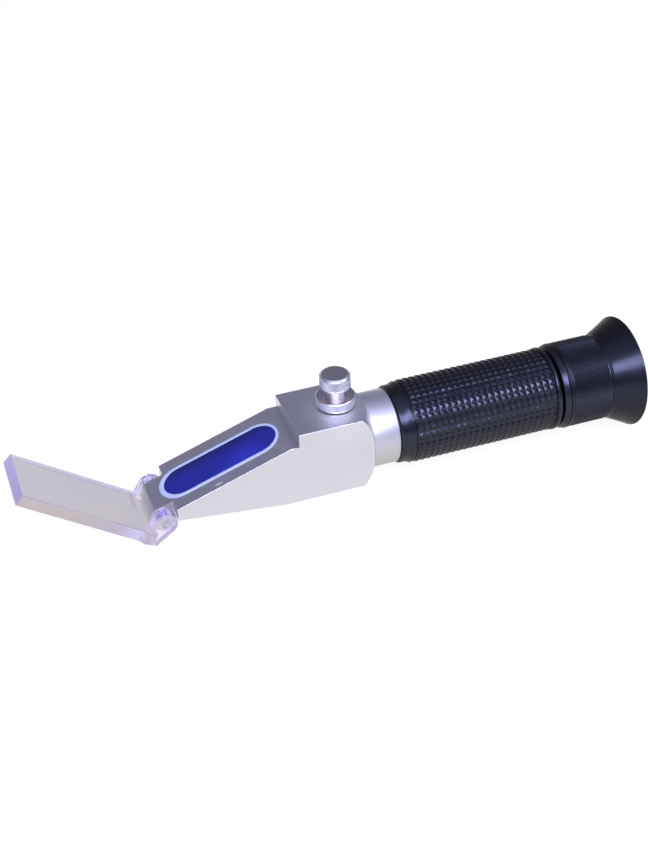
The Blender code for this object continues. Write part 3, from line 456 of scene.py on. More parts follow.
def cobaltFlintGlass():
    # dense polished flint over a dark cell: deep blue, with a painted lighter wedge, a reflection
    # in its face, and a darker strip along the far wall
    material, shader = newMaterial("cobaltFlintGlass", Roughness=0.06, IOR=1.62)
    where = objectPlace(material)
    drift = noiseOf(material, where, finish["flintDrift"], 1.0)
    colour = twoTone(material, drift, "#0C1474", "#141C84")
    foot = (shoulder + slopeFoot * mm).dot(slopeUp)
    masks = []
    # lean across the slope, then where the mask starts and is full, in mm from the slope's
    # foot; a lean of 1000 makes a mask that runs straight across, from 1 to 6.5 mm
    for lean, start, full in ((-1.2, 18.0, 38.0), (0.9, 36.0, 26.0), (1000.0, 1000.0, 6500.0)):
        along = alongAxis(material, where, slopeUp + Vector((0, lean, 0)))
        masks.append(easeTo(material, along, foot + start * mm, foot + full * mm))
    paintedReflectionWedge = addNode(material, "ShaderNodeMath", {"operation": "MULTIPLY"},
                    {0: masks[0], 1: masks[1]}).outputs["Value"]
    # painted reflection
    colour = paintOver(material, paintedReflectionWedge, colour, "#1B299E")
    wire(material, shader, {"Base Color": paintOver(material, masks[2], colour, "#0A0F58")})
    return material


def siliconeRubber():
    # translucent white silicone: even, slightly waxy, painted with a blue cast for the light from
    # the prism
    material, shader = newMaterial("siliconeRubber", Roughness=0.45, IOR=1.41)
    cloud = noiseOf(material, objectPlace(material), finish["sealCloud"])
    wire(material, shader, {"Base Color": twoTone(material, cloud, "#A9B5D0", "#B8C4DA")})
    return material


def coatedOpticalGlass():
    # lens glass with a magnesium fluoride coating: almost clear, with a faint magenta bloom
    material, shader = newMaterial("coatedOpticalGlass", Base_Color=linear("#E6F2EF"),
                                   IOR=1.52, Transmission_Weight=1.0,
                                   Coat_Weight=0.3, Coat_Tint=linear("#C9A6E0"))
    polish = noiseOf(material, objectPlace(material), finish["polishCloud"])
    wire(material, shader, {"Roughness": spread(material, polish, 0.01, 0.03)})
    return material


block = {
    "width": 26.9, "top": 14.1, "bottom": -14.0, "rear": -9.7, "stepWall": -37.3,
    "ledge": 9.2, "bend": -40.5, "slopeLength": 43.7, "slope": math.radians(18.85),
    "riseStart": -42.5, "frontHeight": 4.75,
    "rearRound": 10.9, "rearRoundStart": math.radians(16.4),
    "boreRadius": 11.0, "boreDepth": 24.0, "lightBore": 6.5, "lightBoreEnd": -56.0,
    "pocketRadius": 8.03, "pocketDepth": 3.1, "windowFront": 4.9, "windowSpan": 30.2,
    "noseWidth": 16.2, "knuckle": 4.42, "knuckleStub": 4.2, "pinHole": 1.5,
    "stubInset": 0.3, "screwPlace": -19.24, "screwHole": 4.0, "plugHole": 3.0,
    "edgeBreak": 0.15, "crossEdgeShare": 0.4,
    # along the slope, across, radius, and how much lighter and rougher each spot is painted
    "lighterSpots": ((15.6, -11.5, 0.8, 0.6), (16.6, -11.6, 0.95, 0.8), (17.6, -11.4, 0.8, 0.6),
                  (41.8, -11.2, 0.9, 0.3)),
    # a broad painted highlight on top, in front of the screw: across from it, radius and strength
    "paintedTopHighlight": (-3, 17, 0.3),
}
# the daylight plate is drawn in its own frame with the hinge at the origin, then swung open
cover = {
    "width": 25.2, "reach": 51.866, "faceOffset": 5.04, "thickness": 4.05, "endRake": 0.8,
    "overhang": 0.8, "heelOverhang": 1.2, "crestLength": 4.4, "footLength": 6.8,
    "footDepth": 0.7, "bevelLength": 1.7, "bevelDepth": 0.8, "earRadius": 4.12, "fork": 8.4,
    "pinHole": 1.5, "openAngle": math.radians(126.15), "edgeBreak": 0.12,
    "polishFull": 4.5, "polishEnd": 7.5,
}
slopeUp = Vector((math.cos(block["slope"]), 0, math.sin(block["slope"])))
slopeFoot = Vector((block["bend"], 0, block["ledge"])) - slopeUp * block["slopeLength"]
coverOut = Vector((math.cos(block["slope"] + cover["openAngle"]), 0,
                   math.sin(block["slope"] + cover["openAngle"])))
onSlope = Matrix.Translation(slopeFoot) @ Matrix.Rotation(-block["slope"], 4, "Y")
atWindow = onSlope @ Matrix.Translation((block["windowFront"], 0, 0))

spots = [(toFrame @ onSlope @ Vector((along, across, 0)), radius * mm, strength)
         for along, across, radius, strength in block["lighterSpots"]]
topAcross, topRadius, topStrength = block["paintedTopHighlight"]
spots.append((toFrame @ Vector((block["screwPlace"], topAcross, block["top"])), topRadius * mm,
              topStrength))
blockMetal = beadBlastedAluminium(spots)
collarMetal = turnedAluminium()
polishedNickel = plainMetal("polishedNickelPlate", "#D4D0D6", 0.42, finish["platingGrain"], 0.03)
satinNickel = plainMetal("satinNickelPlate", "#E6E6EE", 0.3, finish["platingGrain"], 0.05)
# faced turning, with a painted darker, brownish colour for the dark parts mirrored in the top faces
facedShadedNickel = plainMetal("facedNickelPlateShaded", "#BEB6B9", 0.3, finish["turningPitch"], 0.05)
stainless = plainMetal("turnedStainlessSteel", "#B9B9BD", 0.28, finish["latheGrain"], 0.06)
springWire = plainMetal("drawnSpringSteel", "#9C9A98", 0.35, finish["wireGrain"], 0.08)
blackAnodised = plainMetal("blackAnodisedAluminium", "#1A1A1D", 0.55,
                           finish["anodisedGrain"], 0.1)
gripRubber = mouldedBlack("mouldedNitrileRubber", 0.24, 0.66, finish["rubberGrain"], 0.1)
ringNylon = mouldedBlack("mouldedNylon", 0.27, 0.68, finish["nylonGrain"], 0.1)
cupRubber = mouldedBlack("softEyecupRubber", 0.26, 0.48, finish["rubberGrain"], 0.05)
halfPlate = cover["width"] / 2
plateWide = Vector((0, 1, 0))
# painted shade at the near edge; a painted dark line and highlight at the far edge
groundAcrylic = acrylic("groundAcrylic", ("#F2EEF4", "#FFF8E4"), 0.32, 0.45, 0.4,
                        finish["groundGrain"], plateWide,
                        ((-halfPlate, "#B8B6BC"), (0.6 - halfPlate, "#D0D0CC"),
                         (1.1 - halfPlate, "#E8E8DE"), (halfPlate - 3.4, "#E8E8E0"),
                         (halfPlate - 2.8, "#CCCAD2"), (halfPlate - 2.2, "#F6F4FC"),
                         (halfPlate, "#FFFFFF")))
# the sides painted brighter near the hinge, darker and beige further out, as light falls on them
sideAcrylic = acrylic("milledAcrylicSide", ("#F4EEE8", "#FAF4EE"), 0.3, 0.45, 0.75,
                      finish["millMarks"], coverOut,
                      ((-5, "#F4F0FF"), (2, "#FFFCFF"), (7, "#E0DCF4"), (14, "#CCC6D0"),
                       (26, "#CFCABC"), (40, "#D2CABA"), (52, "#D0CBBC")))
# the end painted lilac, as it is lit
endAcrylic = acrylic("sawnAcrylicEnd", ("#F6F2F6", "#FCFAFC"), 0.3, 0.4, 0.4,
                     finish["millMarks"], plateWide,
                     ((-halfPlate, "#CCC4E8"), (halfPlate, "#DAD2F2")))
# the bevels and ears painted lilac white, as they are lit
clearAcrylic = acrylic("polishedAcrylic", ("#F4F0FF", "#FCF8FF"), 0.1, 0.6, 0.8,
                       finish["millMarks"], plateWide,
                       ((-halfPlate, "#E8E2FF"), (halfPlate, "#F4F0FF")))
prismGlass = cobaltFlintGlass()
sealRubber = siliconeRubber()
lensGlass = coatedOpticalGlass()
print("materials made")


# how far the cutting tools reach past the pieces, in mm
tools = {"front": -130, "rear": 30, "high": 60, "deep": 40, "reach": 20, "hole": 6,
         "overrun": 0.3}


def planeAboveSlope():
    # everything above the slope, up to the ledge
    bm = bmesh.new()
    bmesh.ops.create_cube(bm, size=1)
    reach, deep = 3 * block["slopeLength"], tools["deep"]
    bmesh.ops.scale(bm, verts=bm.verts, vec=(reach, 2 * block["width"], deep))
    centre = (block["slopeLength"] + tools["overrun"] - reach / 2, 0, deep / 2)
    bmesh.ops.translate(bm, verts=bm.verts, vec=centre)
    return place("planerTool", bm, local=onSlope)


def noseHull():
    # a hull round the hinge knuckle and a stub inside the block
    bm = bmesh.new()
    steps = 96
    for side in (-block["noseWidth"] / 2, block["noseWidth"] / 2):
        for step in range(steps):
            angle = math.tau * step / steps
            bm.verts.new((hingePoint.x + block["knuckle"] * math.cos(angle), side,
                          hingePoint.z + block["knuckle"] * math.sin(angle)))
        for x in (slopeFoot.x, slopeFoot.x + block["knuckleStub"]):
            bm.verts.new((x, side, slopeFoot.z + block["knuckle"]))
            bm.verts.new((x, side, slopeFoot.z - block["frontHeight"] + block["stubInset"]))
    bmesh.ops.convex_hull(bm, input=bm.verts)
    bmesh.ops.dissolve_limit(bm, angle_limit=math.radians(1), verts=bm.verts, edges=bm.edges)
    return place("noseTool", bm)


def rearLimit():
    # the turned outline of the block's rear end
    start, radius = block["rearRoundStart"], block["rearRound"]
    centreX = block["rear"] - radius * math.cos(start)
    centreR = block["width"] / 2 - radius * math.sin(start)
    arc, steps = [], 24
    for step in range(steps + 1):
        angle = math.pi / 2 - (math.pi / 2 - start) * step / steps
        arc.append((centreX + radius * math.cos(angle), centreR + radius * math.sin(angle)))
    limit = [(tools["front"], 0), (tools["front"], arc[0][1])] + arc + [(block["rear"], 0)]
    return place("rearLimit", turned(limit))


def roomAbove(floor):
    front, rear, high, reach = (tools[way] for way in ("front", "rear", "high", "reach"))
    outline = [(front, floor), (rear, floor), (rear, high), (front, high)]
    return place("room", slab(outline, -reach, reach))


def drill(name, centre, radius, across=False):
    reach = tools["reach"] if across else tools["hole"]
    rod = turned([(-reach, 0), (-reach, radius), (reach, radius), (reach, 0)], 72, True)
    lie = Matrix.Rotation(math.pi / 2, 4, "X") if across else Matrix()
    return place(name, rod, local=Matrix.Translation(centre) @ lie)


def makeBlock():
    half = block["width"] / 2
    footX = slopeFoot.x
    outline = [(block["rear"], block["bottom"]), (block["rear"], block["top"]),
               (block["stepWall"], block["top"]), (block["stepWall"], block["ledge"]),
               (footX, block["ledge"]), (footX, slopeFoot.z - block["frontHeight"]),
               (block["riseStart"], block["bottom"])]
    body = place("blockBody", slab(outline, -half, half), blockMetal)
    carve(body, noseHull(), "UNION")
    carve(body, planeAboveSlope())
    carve(body, rearLimit(), "INTERSECT")

    boreEnd, lightEnd = block["rear"] - block["boreDepth"], block["lightBoreEnd"]
    bore = [(0, 0), (0, block["boreRadius"]), (boreEnd, block["boreRadius"]),
            (boreEnd, block["lightBore"]), (lightEnd, block["lightBore"]), (lightEnd, 0)]
    carve(body, place("boreTool", turned(bore, 96)))
    radius, rear, deep = block["pocketRadius"], block["windowSpan"], tools["deep"]
    pocket = place("pocketTool",
                   windowStack([(radius, deep, 0, rear), (radius, -deep, 0, rear)]),
                   local=atWindow)
    carve(pocket, roomAbove(slopeFoot.z - block["pocketDepth"]), "INTERSECT")
    carve(body, pocket)
    screwTop = Vector((block["screwPlace"], 0, block["top"]))
    screwFoot = Vector((block["screwPlace"], 0, block["bottom"]))
    carve(body, drill("pinHole", hingePoint, block["pinHole"], across=True))
    carve(body, drill("screwHole", screwTop, block["screwHole"]))
    carve(body, drill("plugHole", screwFoot, block["plugHole"]))
    breakEdges(body, block["edgeBreak"], block["crossEdgeShare"])
    setMaterials(body, blockMetal)
    belong(body, "housing", "block_aluminium", "prism_block")


makeBlock()
print("block made")


# the prism in its moulded seal, whose opening sits a little to the rear
window = {"glassRadius": 6.8, "glassFront": 0.7, "glassRear": 30.35, "glassTop": 0.08,
          "sealRadius": 8.0, "sealTop": 0.28, "sealDepth": 0.7, "sealRound": 0.22,
          "exitFace": -50.0, "exitDepth": 2.5, "glassInset": 0.02, "creaseOver": 20}


def makeWindow():
    outer, rear = window["sealRadius"], block["windowSpan"]
    inner, front = window["glassRadius"], window["glassFront"]
    innerRear, under = window["glassRear"], -window["sealDepth"]
    edge = inner - window["glassInset"]
    glass = windowStack([(edge, window["glassTop"], front, innerRear),
                         (edge, under - clearance, front, innerRear),
                         (outer, under - clearance, 0, rear),
                         (outer, -tools["deep"], 0, rear)])
    prism = place("prismWindow", glass, prismGlass, atWindow)
    carve(prism, roomAbove(slopeFoot.z - block["pocketDepth"] + clearance), "INTERSECT")
    lean = math.tan(block["slope"])
    depth = block["ledge"] - window["exitDepth"] / math.cos(block["slope"])
    face, far = window["exitFace"], block["bend"] + block["slopeLength"]
    reach = tools["reach"]
    cut = [(face, -reach), (face, depth + (face - block["bend"]) * lean),
           (far, depth + (far - block["bend"]) * lean), (far, -reach)]
    carve(prism, place("exitFace", slab(cut, -reach, reach)))
    setMaterials(prism, prismGlass)
    prism.data.shade_smooth()
    prism.data.set_sharp_from_angle(angle=math.radians(window["creaseOver"]))
    belong(prism, "housing", "prism_glass", "measuring_prism")

    top, soft = window["sealTop"], window["sealRound"]
    rise = ((0, under), (0, top - soft), (soft * 0.3, top - soft * 0.3), (soft, top))
    levels = [(inner + inset, height, front, innerRear) for inset, height in rise]
    levels += [(outer - inset, height, 0, rear) for inset, height in reversed(rise)]
    seal = place("windowSeal", windowStack(levels, True), sealRubber, atWindow)
    belong(seal, "housing", "seal_white", "prism_seal")


makeWindow()
print("window made")


def coverOutlines():
    inner, outer = cover["faceOffset"], cover["faceOffset"] + cover["thickness"]
    earFront = (cover["earRadius"], inner)
    bevelStart = (cover["bevelLength"] - cover["overhang"], inner)
    bevelEnd = (-cover["overhang"], inner + cover["bevelDepth"])
    heel = (-cover["heelOverhang"], outer)
    plate = [(cover["reach"], inner), earFront, bevelStart, bevelEnd, heel,
             (cover["crestLength"] - cover["heelOverhang"], outer + cover["footDepth"]),
             (cover["footLength"] - cover["heelOverhang"], outer),
             (cover["reach"] + cover["endRake"], outer)]
    last = math.atan2(heel[1], heel[0]) + math.acos(cover["earRadius"] / math.hypot(*heel))
    steps = 48
    arc = [(cover["earRadius"] * math.cos((last - math.tau) * i / steps),
            cover["earRadius"] * math.sin((last - math.tau) * i / steps))
           for i in range(steps + 1)]
    return plate, [earFront] + arc + [heel, bevelEnd, bevelStart]


def makeCover():
    plate, ear = coverOutlines()
    swing = (Matrix.Translation(hingePoint)
             @ Matrix.Rotation(-(block["slope"] + cover["openAngle"]), 4, "Y"))
    side, fork = cover["width"] / 2, cover["fork"]
    body = place("coverPlate", slab(plate, -side, side), local=swing)
    for low, high in ((-side, -fork), (fork, side)):
        carve(body, place("coverEar", slab(ear, low, high), local=swing), "UNION")
    carve(body, drill("coverHole", hingePoint, cover["pinHole"], across=True))
    breakEdges(body, cover["edgeBreak"])
    setMaterials(body, groundAcrylic, clearAcrylic, endAcrylic, sideAcrylic)
    toPlate = (toFrame @ swing).inverted()
    turn = swing.to_3x3().inverted()
    for face in body.data.polygons:
        facing, centre = turn @ face.normal, toPlate @ face.center
        if facing.x > 0.9 and centre.x > cover["reach"] - 1:  # the sawn end
            face.material_index = 2
        elif abs(facing.y) > 0.5:  # the milled sides
            face.material_index = 3
        elif abs(facing.z) < 0.98 or centre.x < cover["earRadius"]:  # bevels and ears
            face.material_index = 1
    belong(body, "cover", "clear_plate", "daylight_plate")


makeCover()
print("cover made")


def squareKnurl(bm, start, pitch, rows, count, low, high, groove, crown, uneven=0):
    # square pyramids in a grid round a cylinder, with the two end rings returned
    stations = (0, groove, 0.5 + groove / 2 - crown / 2, 0.5 + groove / 2 + crown / 2)
    lifts = (0, 0, 1, 1)
    chance = random.Random(5)
    rings = [(start + pitch * (row + station), lift)
             for row in range(rows) for station, lift in zip(stations, lifts)]
    rings.append((start + pitch * rows, 0))
    grid = []
    for along, lift in rings:
        ring = []
        for column in range(count):
            for station, sideLift in zip(stations, lifts):
                raised = lift and sideLift
                radius = high + chance.uniform(-uneven, uneven) if raised else low
                angle = math.tau * (column + station) / count
                ring.append(bm.verts.new((along, radius * math.sin(angle),
                                          radius * math.cos(angle))))
        grid.append(ring)
    size = count * 4
    for row in range(len(grid) - 1):
        for i in range(size):
            j = (i + 1) % size
            corners = ((row, i, grid[row][i]), (row, i + 1, grid[row][j]),
                       (row + 1, i + 1, grid[row + 1][j]), (row + 1, i, grid[row + 1][i]))
            raised = [rings[x][1] and lifts[y % 4] for x, y, v in corners]
            a, b, c, d = (v for x, y, v in corners)
            if sum(raised) == 1 and (raised[0] or raised[2]):
                bm.faces.new((a, b, c))
                bm.faces.new((a, c, d))
            elif sum(raised) == 1:
                bm.faces.new((a, b, d))
                bm.faces.new((b, c, d))
            else:
                bm.faces.new((a, b, c, d))
    return grid[0], grid[-1]


def diamondKnurl(bm, start, pitch, rows, count, low, high):
    # every other point of a fine grid is raised, as a cross knurl leaves them
    rings = []
    for row in range(rows * 2 + 1):
        ring = []
        for column in range(count * 2):
            raised = (row + column) % 2 and 0 < row < rows * 2
            radius, angle = (high if raised else low), math.pi * column / count
            ring.append(bm.verts.new((start + pitch * row / 2, radius * math.sin(angle),
                                      radius * math.cos(angle))))
        rings.append(ring)
    for row, (ring, other) in enumerate(zip(rings, rings[1:])):
        for i in range(len(ring)):
            j = (i + 1) % len(ring)
            if (row + i) % 2:
                bm.faces.new((ring[i], ring[j], other[i]))
                bm.faces.new((ring[j], other[j], other[i]))
            else:
                bm.faces.new((ring[i], ring[j], other[j]))
                bm.faces.new((ring[i], other[j], other[i]))
    return rings[0], rings[-1]


def skin(bm, ring, profile):
    # carries a ring on through (along, radius) points, and returns the last ring
    for along, radius in profile:
        other = []
        for v in ring:
            reach = math.hypot(v.co.y, v.co.z)
            other.append(bm.verts.new((along, v.co.y / reach * radius,
                                       v.co.z / reach * radius)))
        closeRing(bm, ring, other)
        ring = other
    return ring


def squareOff(points, radius):
    # carries the last point straight in or out to that radius
    return points + ((points[-1][0], radius),)


grip = {
    "bore": 12.7, "knurlStart": 6.0, "rows": 23, "pitch": 2.36, "count": 43,
    "knurlLow": 14.76, "knurlHigh": 15.17, "grooveShare": 0.1, "crownShare": 0.12,
    "uneven": 0.03,
    # (along, radius) from the knurl forward and from the knurl back
    "front": ((5.88, 14.36), (5.48, 14.34), (5.34, 14.6), (5.2, 14.86), (5.0, 14.95),
              (4.7, 14.93), (4.4, 14.8), (4.0, 14.6), (3.6, 14.42), (3.0, 14.3),
              (1.1, 14.25), (0.75, 14.15), (0.48, 13.92), (0.3, 13.55)),
    "rear": ((60.45, 14.76), (60.6, 15.1), (60.85, 15.34), (61.15, 15.45), (61.6, 15.45),
             (61.95, 15.3), (62.2, 14.95)),
}


def makeGrip():
    bm = bmesh.new()
    first, last = squareKnurl(bm, grip["knurlStart"], grip["pitch"], grip["rows"],
                              grip["count"], grip["knurlLow"], grip["knurlHigh"],
                              grip["grooveShare"], grip["crownShare"], grip["uneven"])
    startRing = skin(bm, first, squareOff(grip["front"], grip["bore"]))
    endRing = skin(bm, last, squareOff(grip["rear"], grip["bore"]))
    closeRing(bm, startRing, endRing)
    piece = place("gripRubber", bm, gripRubber, sharp=14)
    belong(piece, "housing", "grip_rubber", "grip_sleeve")


makeGrip()
print("grip made")


focusRing = {
    "bore": 11.5, "web": 8.6, "webStart": 75.4, "webEnd": 79.4, "recess": 11.3,
    "hub": 12.5, "hubEnd": 85.3,
    "knurlStart": 67.4, "rows": 14, "pitch": 1.03, "count": 100,
    "knurlLow": 15.58, "knurlHigh": 15.86, "grooveShare": 0.16, "crownShare": 0.24,
    "front": ((67.25, 15.5), (67.1, 15.5), (66.95, 15.8), (66.75, 15.94), (66.1, 15.94),
              (65.9, 15.8), (65.75, 15.45), (65.55, 15.45), (65.4, 15.7), (65.15, 15.74),
              (64.9, 15.65), (64.3, 15.4), (63.8, 15.15), (63.45, 14.9), (63.3, 14.6)),
    "rear": ((82.0, 15.66), (82.2, 15.66), (82.3, 15.62)),
}


def makeFocusRing():
    bm = bmesh.new()
    ring = focusRing
    first, last = squareKnurl(bm, ring["knurlStart"], ring["pitch"], ring["rows"],
                              ring["count"], ring["knurlLow"], ring["knurlHigh"],
                              ring["grooveShare"], ring["crownShare"])
    webStart, webEnd, hubEnd = ring["webStart"], ring["webEnd"], ring["hubEnd"]
    inside = ((webStart, ring["bore"]), (webStart, ring["web"]), (webEnd, ring["web"]),
              (webEnd, ring["recess"]), (hubEnd, ring["recess"]), (hubEnd, ring["hub"]))
    startRing = skin(bm, first, squareOff(ring["front"], ring["bore"]) + inside)
    endRing = skin(bm, last, squareOff(ring["rear"], ring["hub"]))
    closeRing(bm, startRing, endRing)
    piece = place("focusRingBody", bm, ringNylon, sharp=14)
    belong(piece, "focus", "ring_black", "focus_ring")


makeFocusRing()
print("focus ring made")


eyecup = {
    "start": 82.36, "socket": 12.8, "neck": 15.75, "neckEnd": 83.4, "edge": 0.08,
    "edgeDrop": 0.06, "hollow": 0.12, "rim": 20.7, "end": 93.5,
    # the lip's radius, then the angle it starts at and how far it turns, in degrees
    "lip": 0.38, "lipStart": 115, "lipTurn": 205,
    "bowl": ((90.4, 16.2), (87.4, 10.9)), "floorFront": 85.6, "floorBack": 86.6, "hole": 9.5,
    "soften": 0.15,
}


def makeEyecup():
    lip = eyecup["lip"]
    centre = Vector((eyecup["end"] - lip, eyecup["rim"] - lip))
    neckEnd = Vector((eyecup["neckEnd"], eyecup["neck"]))
    tangent = Vector((centre.x, eyecup["rim"]))
    profile = [(eyecup["start"], eyecup["socket"]),
               (eyecup["start"], eyecup["neck"] - eyecup["edgeDrop"]),
               (eyecup["start"] + eyecup["edge"], eyecup["neck"]), tuple(neckEnd)]
    for share in (0.15, 0.3, 0.5, 0.7, 0.88):  # a slightly hollow flare
        point = neckEnd.lerp(tangent, share)
        profile.append((point.x, point.y - eyecup["hollow"] * 4 * share * (1 - share)))
    steps = 8
    for step in range(steps + 1):
        angle = math.radians(eyecup["lipStart"] - eyecup["lipTurn"] * step / steps)
        profile.append((centre.x + lip * math.cos(angle), centre.y + lip * math.sin(angle)))
    profile += [*eyecup["bowl"], (eyecup["floorBack"], eyecup["hole"]),
                (eyecup["floorFront"], eyecup["hole"]),
                (eyecup["floorFront"], eyecup["socket"])]
    piece = place("eyecupRubber", turned(profile, soften=eyecup["soften"]), cupRubber,
                  sharp=45)
    belong(piece, "focus", "eyecup_rubber", "eyecup")


makeEyecup()
print("eyecup made")


# the bare collar is one with the tube that runs on under the grip
tube = {"front": -14.2, "spigot": 10.7, "collarStart": -9.68, "collar": 13.5, "radius": 12.4,
        "bore": 9.5, "length": 58.0, "edge": 0.15}


def makeTube():
    profile = [(tube["front"], tube["bore"]), (tube["front"], tube["spigot"]),
               (tube["collarStart"], tube["spigot"]), (tube["collarStart"], tube["collar"]),
               (0, tube["collar"]), (0, tube["radius"]), (tube["length"], tube["radius"]),
               (tube["length"], tube["bore"])]
    piece = place("tubeWithCollar", turned(profile, soften=tube["edge"]), collarMetal,
                  sharp=45)
    belong(piece, "housing", "collar_aluminium", "main_tube")


makeTube()
print("tube made")


knob = {"neck": 3.7, "head": 5.5, "headLow": 21.75, "knurlLow": 22.2, "knurlDepth": 0.2,
        "knurls": 46, "rows": 5, "pitch": 0.75, "chamferLow": 26.15, "top": 26.9,
        "topRadius": 4.72, "neckRings": (20.2, 18.7, 16.0, 12.0), "shankLow": 10.1,
        "tip": 8.9, "tipRadius": 1.8}
lockRing = {"radius": 7.0, "low": 14.5, "high": 18.2, "hole": 3.74, "chamfer": 0.25,
            "knurlDepth": 0.18, "knurls": 58, "rows": 4, "pitch": 0.75}
upright = (Matrix.Translation((block["screwPlace"], 0, 0))
           @ Matrix.Rotation(-math.pi / 2, 4, "Y"))


def makeKnob():
    bm = bmesh.new()
    head, neck = knob["head"], knob["neck"]
    base = head - knob["knurlDepth"]
    first, last = diamondKnurl(bm, knob["knurlLow"], knob["pitch"], knob["rows"],
                               knob["knurls"], base, head)
    # the small offsets round the edges over, a few tenths of a millimetre at most
    low = [(knob["knurlLow"] - 0.05, head), (knob["headLow"] + 0.25, head),
           (knob["headLow"] + 0.05, head - 0.15), (knob["headLow"], head - 0.35),
           (knob["headLow"], neck + 0.15), (knob["headLow"] - 0.12, neck)]
    low += [(z, neck) for z in (*knob["neckRings"], knob["shankLow"] + 0.2)]
    low += [(knob["shankLow"], neck - 0.2), (knob["tip"], knob["tipRadius"]),
            (knob["tip"], 0.01)]
    up = [(knob["knurlLow"] + knob["rows"] * knob["pitch"] + 0.05, head),
          (knob["chamferLow"], head), (knob["chamferLow"] + 0.15, head - 0.08),
          (knob["top"] - 0.12, knob["topRadius"] + 0.15),
          (knob["top"], knob["topRadius"] - 0.06), (knob["top"], 2.0), (knob["top"], 0.01)]
    skin(bm, first, low)
    skin(bm, last, up)
    bmesh.ops.remove_doubles(bm, verts=[v for v in bm.verts if v.co.yz.length < 0.02], dist=0.05)
    piece = place("calibrationKnob", bm, satinNickel, upright, sharp=14)
    piece.data.materials.append(polishedNickel)
    piece.data.materials.append(facedShadedNickel)
    neckTop = shoulder.z + (knob["headLow"] - 0.01) * mm
    crown = shoulder.z + (knob["top"] - 0.02) * mm
    # the top face takes the nickel painted darker
    for face in piece.data.polygons:
        if face.center.z < neckTop:
            face.material_index = 1
        elif face.center.z > crown:
            face.material_index = 2
    belong(piece, "screw", "polished_metal", "calibration_screw")


def makeLockRing():
    bm = bmesh.new()
    low, high, radius = lockRing["low"], lockRing["high"], lockRing["radius"]
    base, edge = radius - lockRing["knurlDepth"], lockRing["chamfer"]
    first, last = diamondKnurl(bm, low + edge + 0.1, lockRing["pitch"], lockRing["rows"],
                               lockRing["knurls"], base, radius)
    below = [(low + edge, radius), (low, radius - edge), (low, lockRing["hole"])]
    above = [(high - edge, radius), (high - 0.08, radius - edge + 0.08),
             (high, radius - edge - 0.05), (high, lockRing["hole"])]
    closeRing(bm, skin(bm, first, below), skin(bm, last, above))
    piece = place("lockRingBody", bm, satinNickel, upright, sharp=14)
    piece.data.materials.append(facedShadedNickel)
    crown = shoulder.z + (high - 0.02) * mm
    # the top face takes the nickel painted darker
    for face in piece.data.polygons:
        face.material_index = int(face.center.z > crown)
    belong(piece, "lock", "polished_metal", "lock_ring")


makeKnob()
makeLockRing()
print("knob and lock ring made")


def makeSpring():
    # drawn a little short of its CAD length, which leaves room for the carriage to come down
    node = frame["nodes"]["return_spring"]
    foot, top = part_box("return_spring")
    share = 1 - clearance * mm / (top.z - foot.z)
    atFoot = Matrix.Translation(foot)
    mesh = node.data.copy()
    mesh.transform(atFoot @ Matrix.Scale(share, 4, (0, 0, 1)) @ atFoot.inverted()
                   @ node.matrix_world)
    piece = addObject("springCoil", mesh)
    setMaterials(piece, springWire)
    belong(piece, "housing", "steel", "return_spring")


makeSpring()
print("spring made")

# finishes of the pieces that keep their CAD shape
keptPieces = {
    stainless: ("hinge_pin", "spring_plug", "guide_pin"),
    lensGlass: ("objective_lens", "reticle", "field_lens", "eye_lens"),
    blackAnodised: ("objective_carriage", "objective_ring", "light_baffle", "reticle_cell",
                    "reticle_ring", "focus_bush", "eyepiece_barrel", "lens_spacer",
                    "eye_lens_ring", "barrel_retainer"),
}
for material, nodeNames in keptPieces.items():
    for nodeName in nodeNames:
        for holder in frame["nodes"][nodeName].material_slots:
            holder.material = material
print("finishes set")


stage = {
    "tableSize": 6.0, "rimInset": 0.4, "paper": "#F7F6F4", "paperGlow": 0.86,
    "paperLight": 1.07,
    "lampColour": "#DBDEFF", "lampDistance": 0.8,
    # name, azimuth, elevation, width, height and radiance
    "lamps": (("keySoftbox", -14.0, 44.5, 0.84, 0.3, 11.0),
              ("sideSoftbox", 64.0, 40.0, 0.3, 0.36, 4.0)),
    # the ceiling is brightest this far in front of the zenith, in degrees; the stops are
    # cosines of the angle from there
    "ceilingLean": 25.0,
    "room": ((-0.42, "#AEAEB6"), (-0.25, "#A2A2AE"), (0.0, "#8A8AA2"), (0.2, "#82829C"),
             (0.57, "#8A8AA8"), (0.9, "#C6C6E8"), (1.0, "#E2E2FF")),
}
photoCamera = {"place": (-152.036, -403.059, 305.337), "azimuth": -17.62, "elevation": 35.54,
               "roll": -2.61, "lens": 61.2, "clip": (0.01, 20)}


def toward(azimuth, elevation):
    # unit vector from the object, azimuth 0 in front along -Y and turning to +X
    a, e = math.radians(azimuth), math.radians(elevation)
    return Vector((math.sin(a) * math.cos(e), -math.cos(a) * math.cos(e), math.sin(e)))


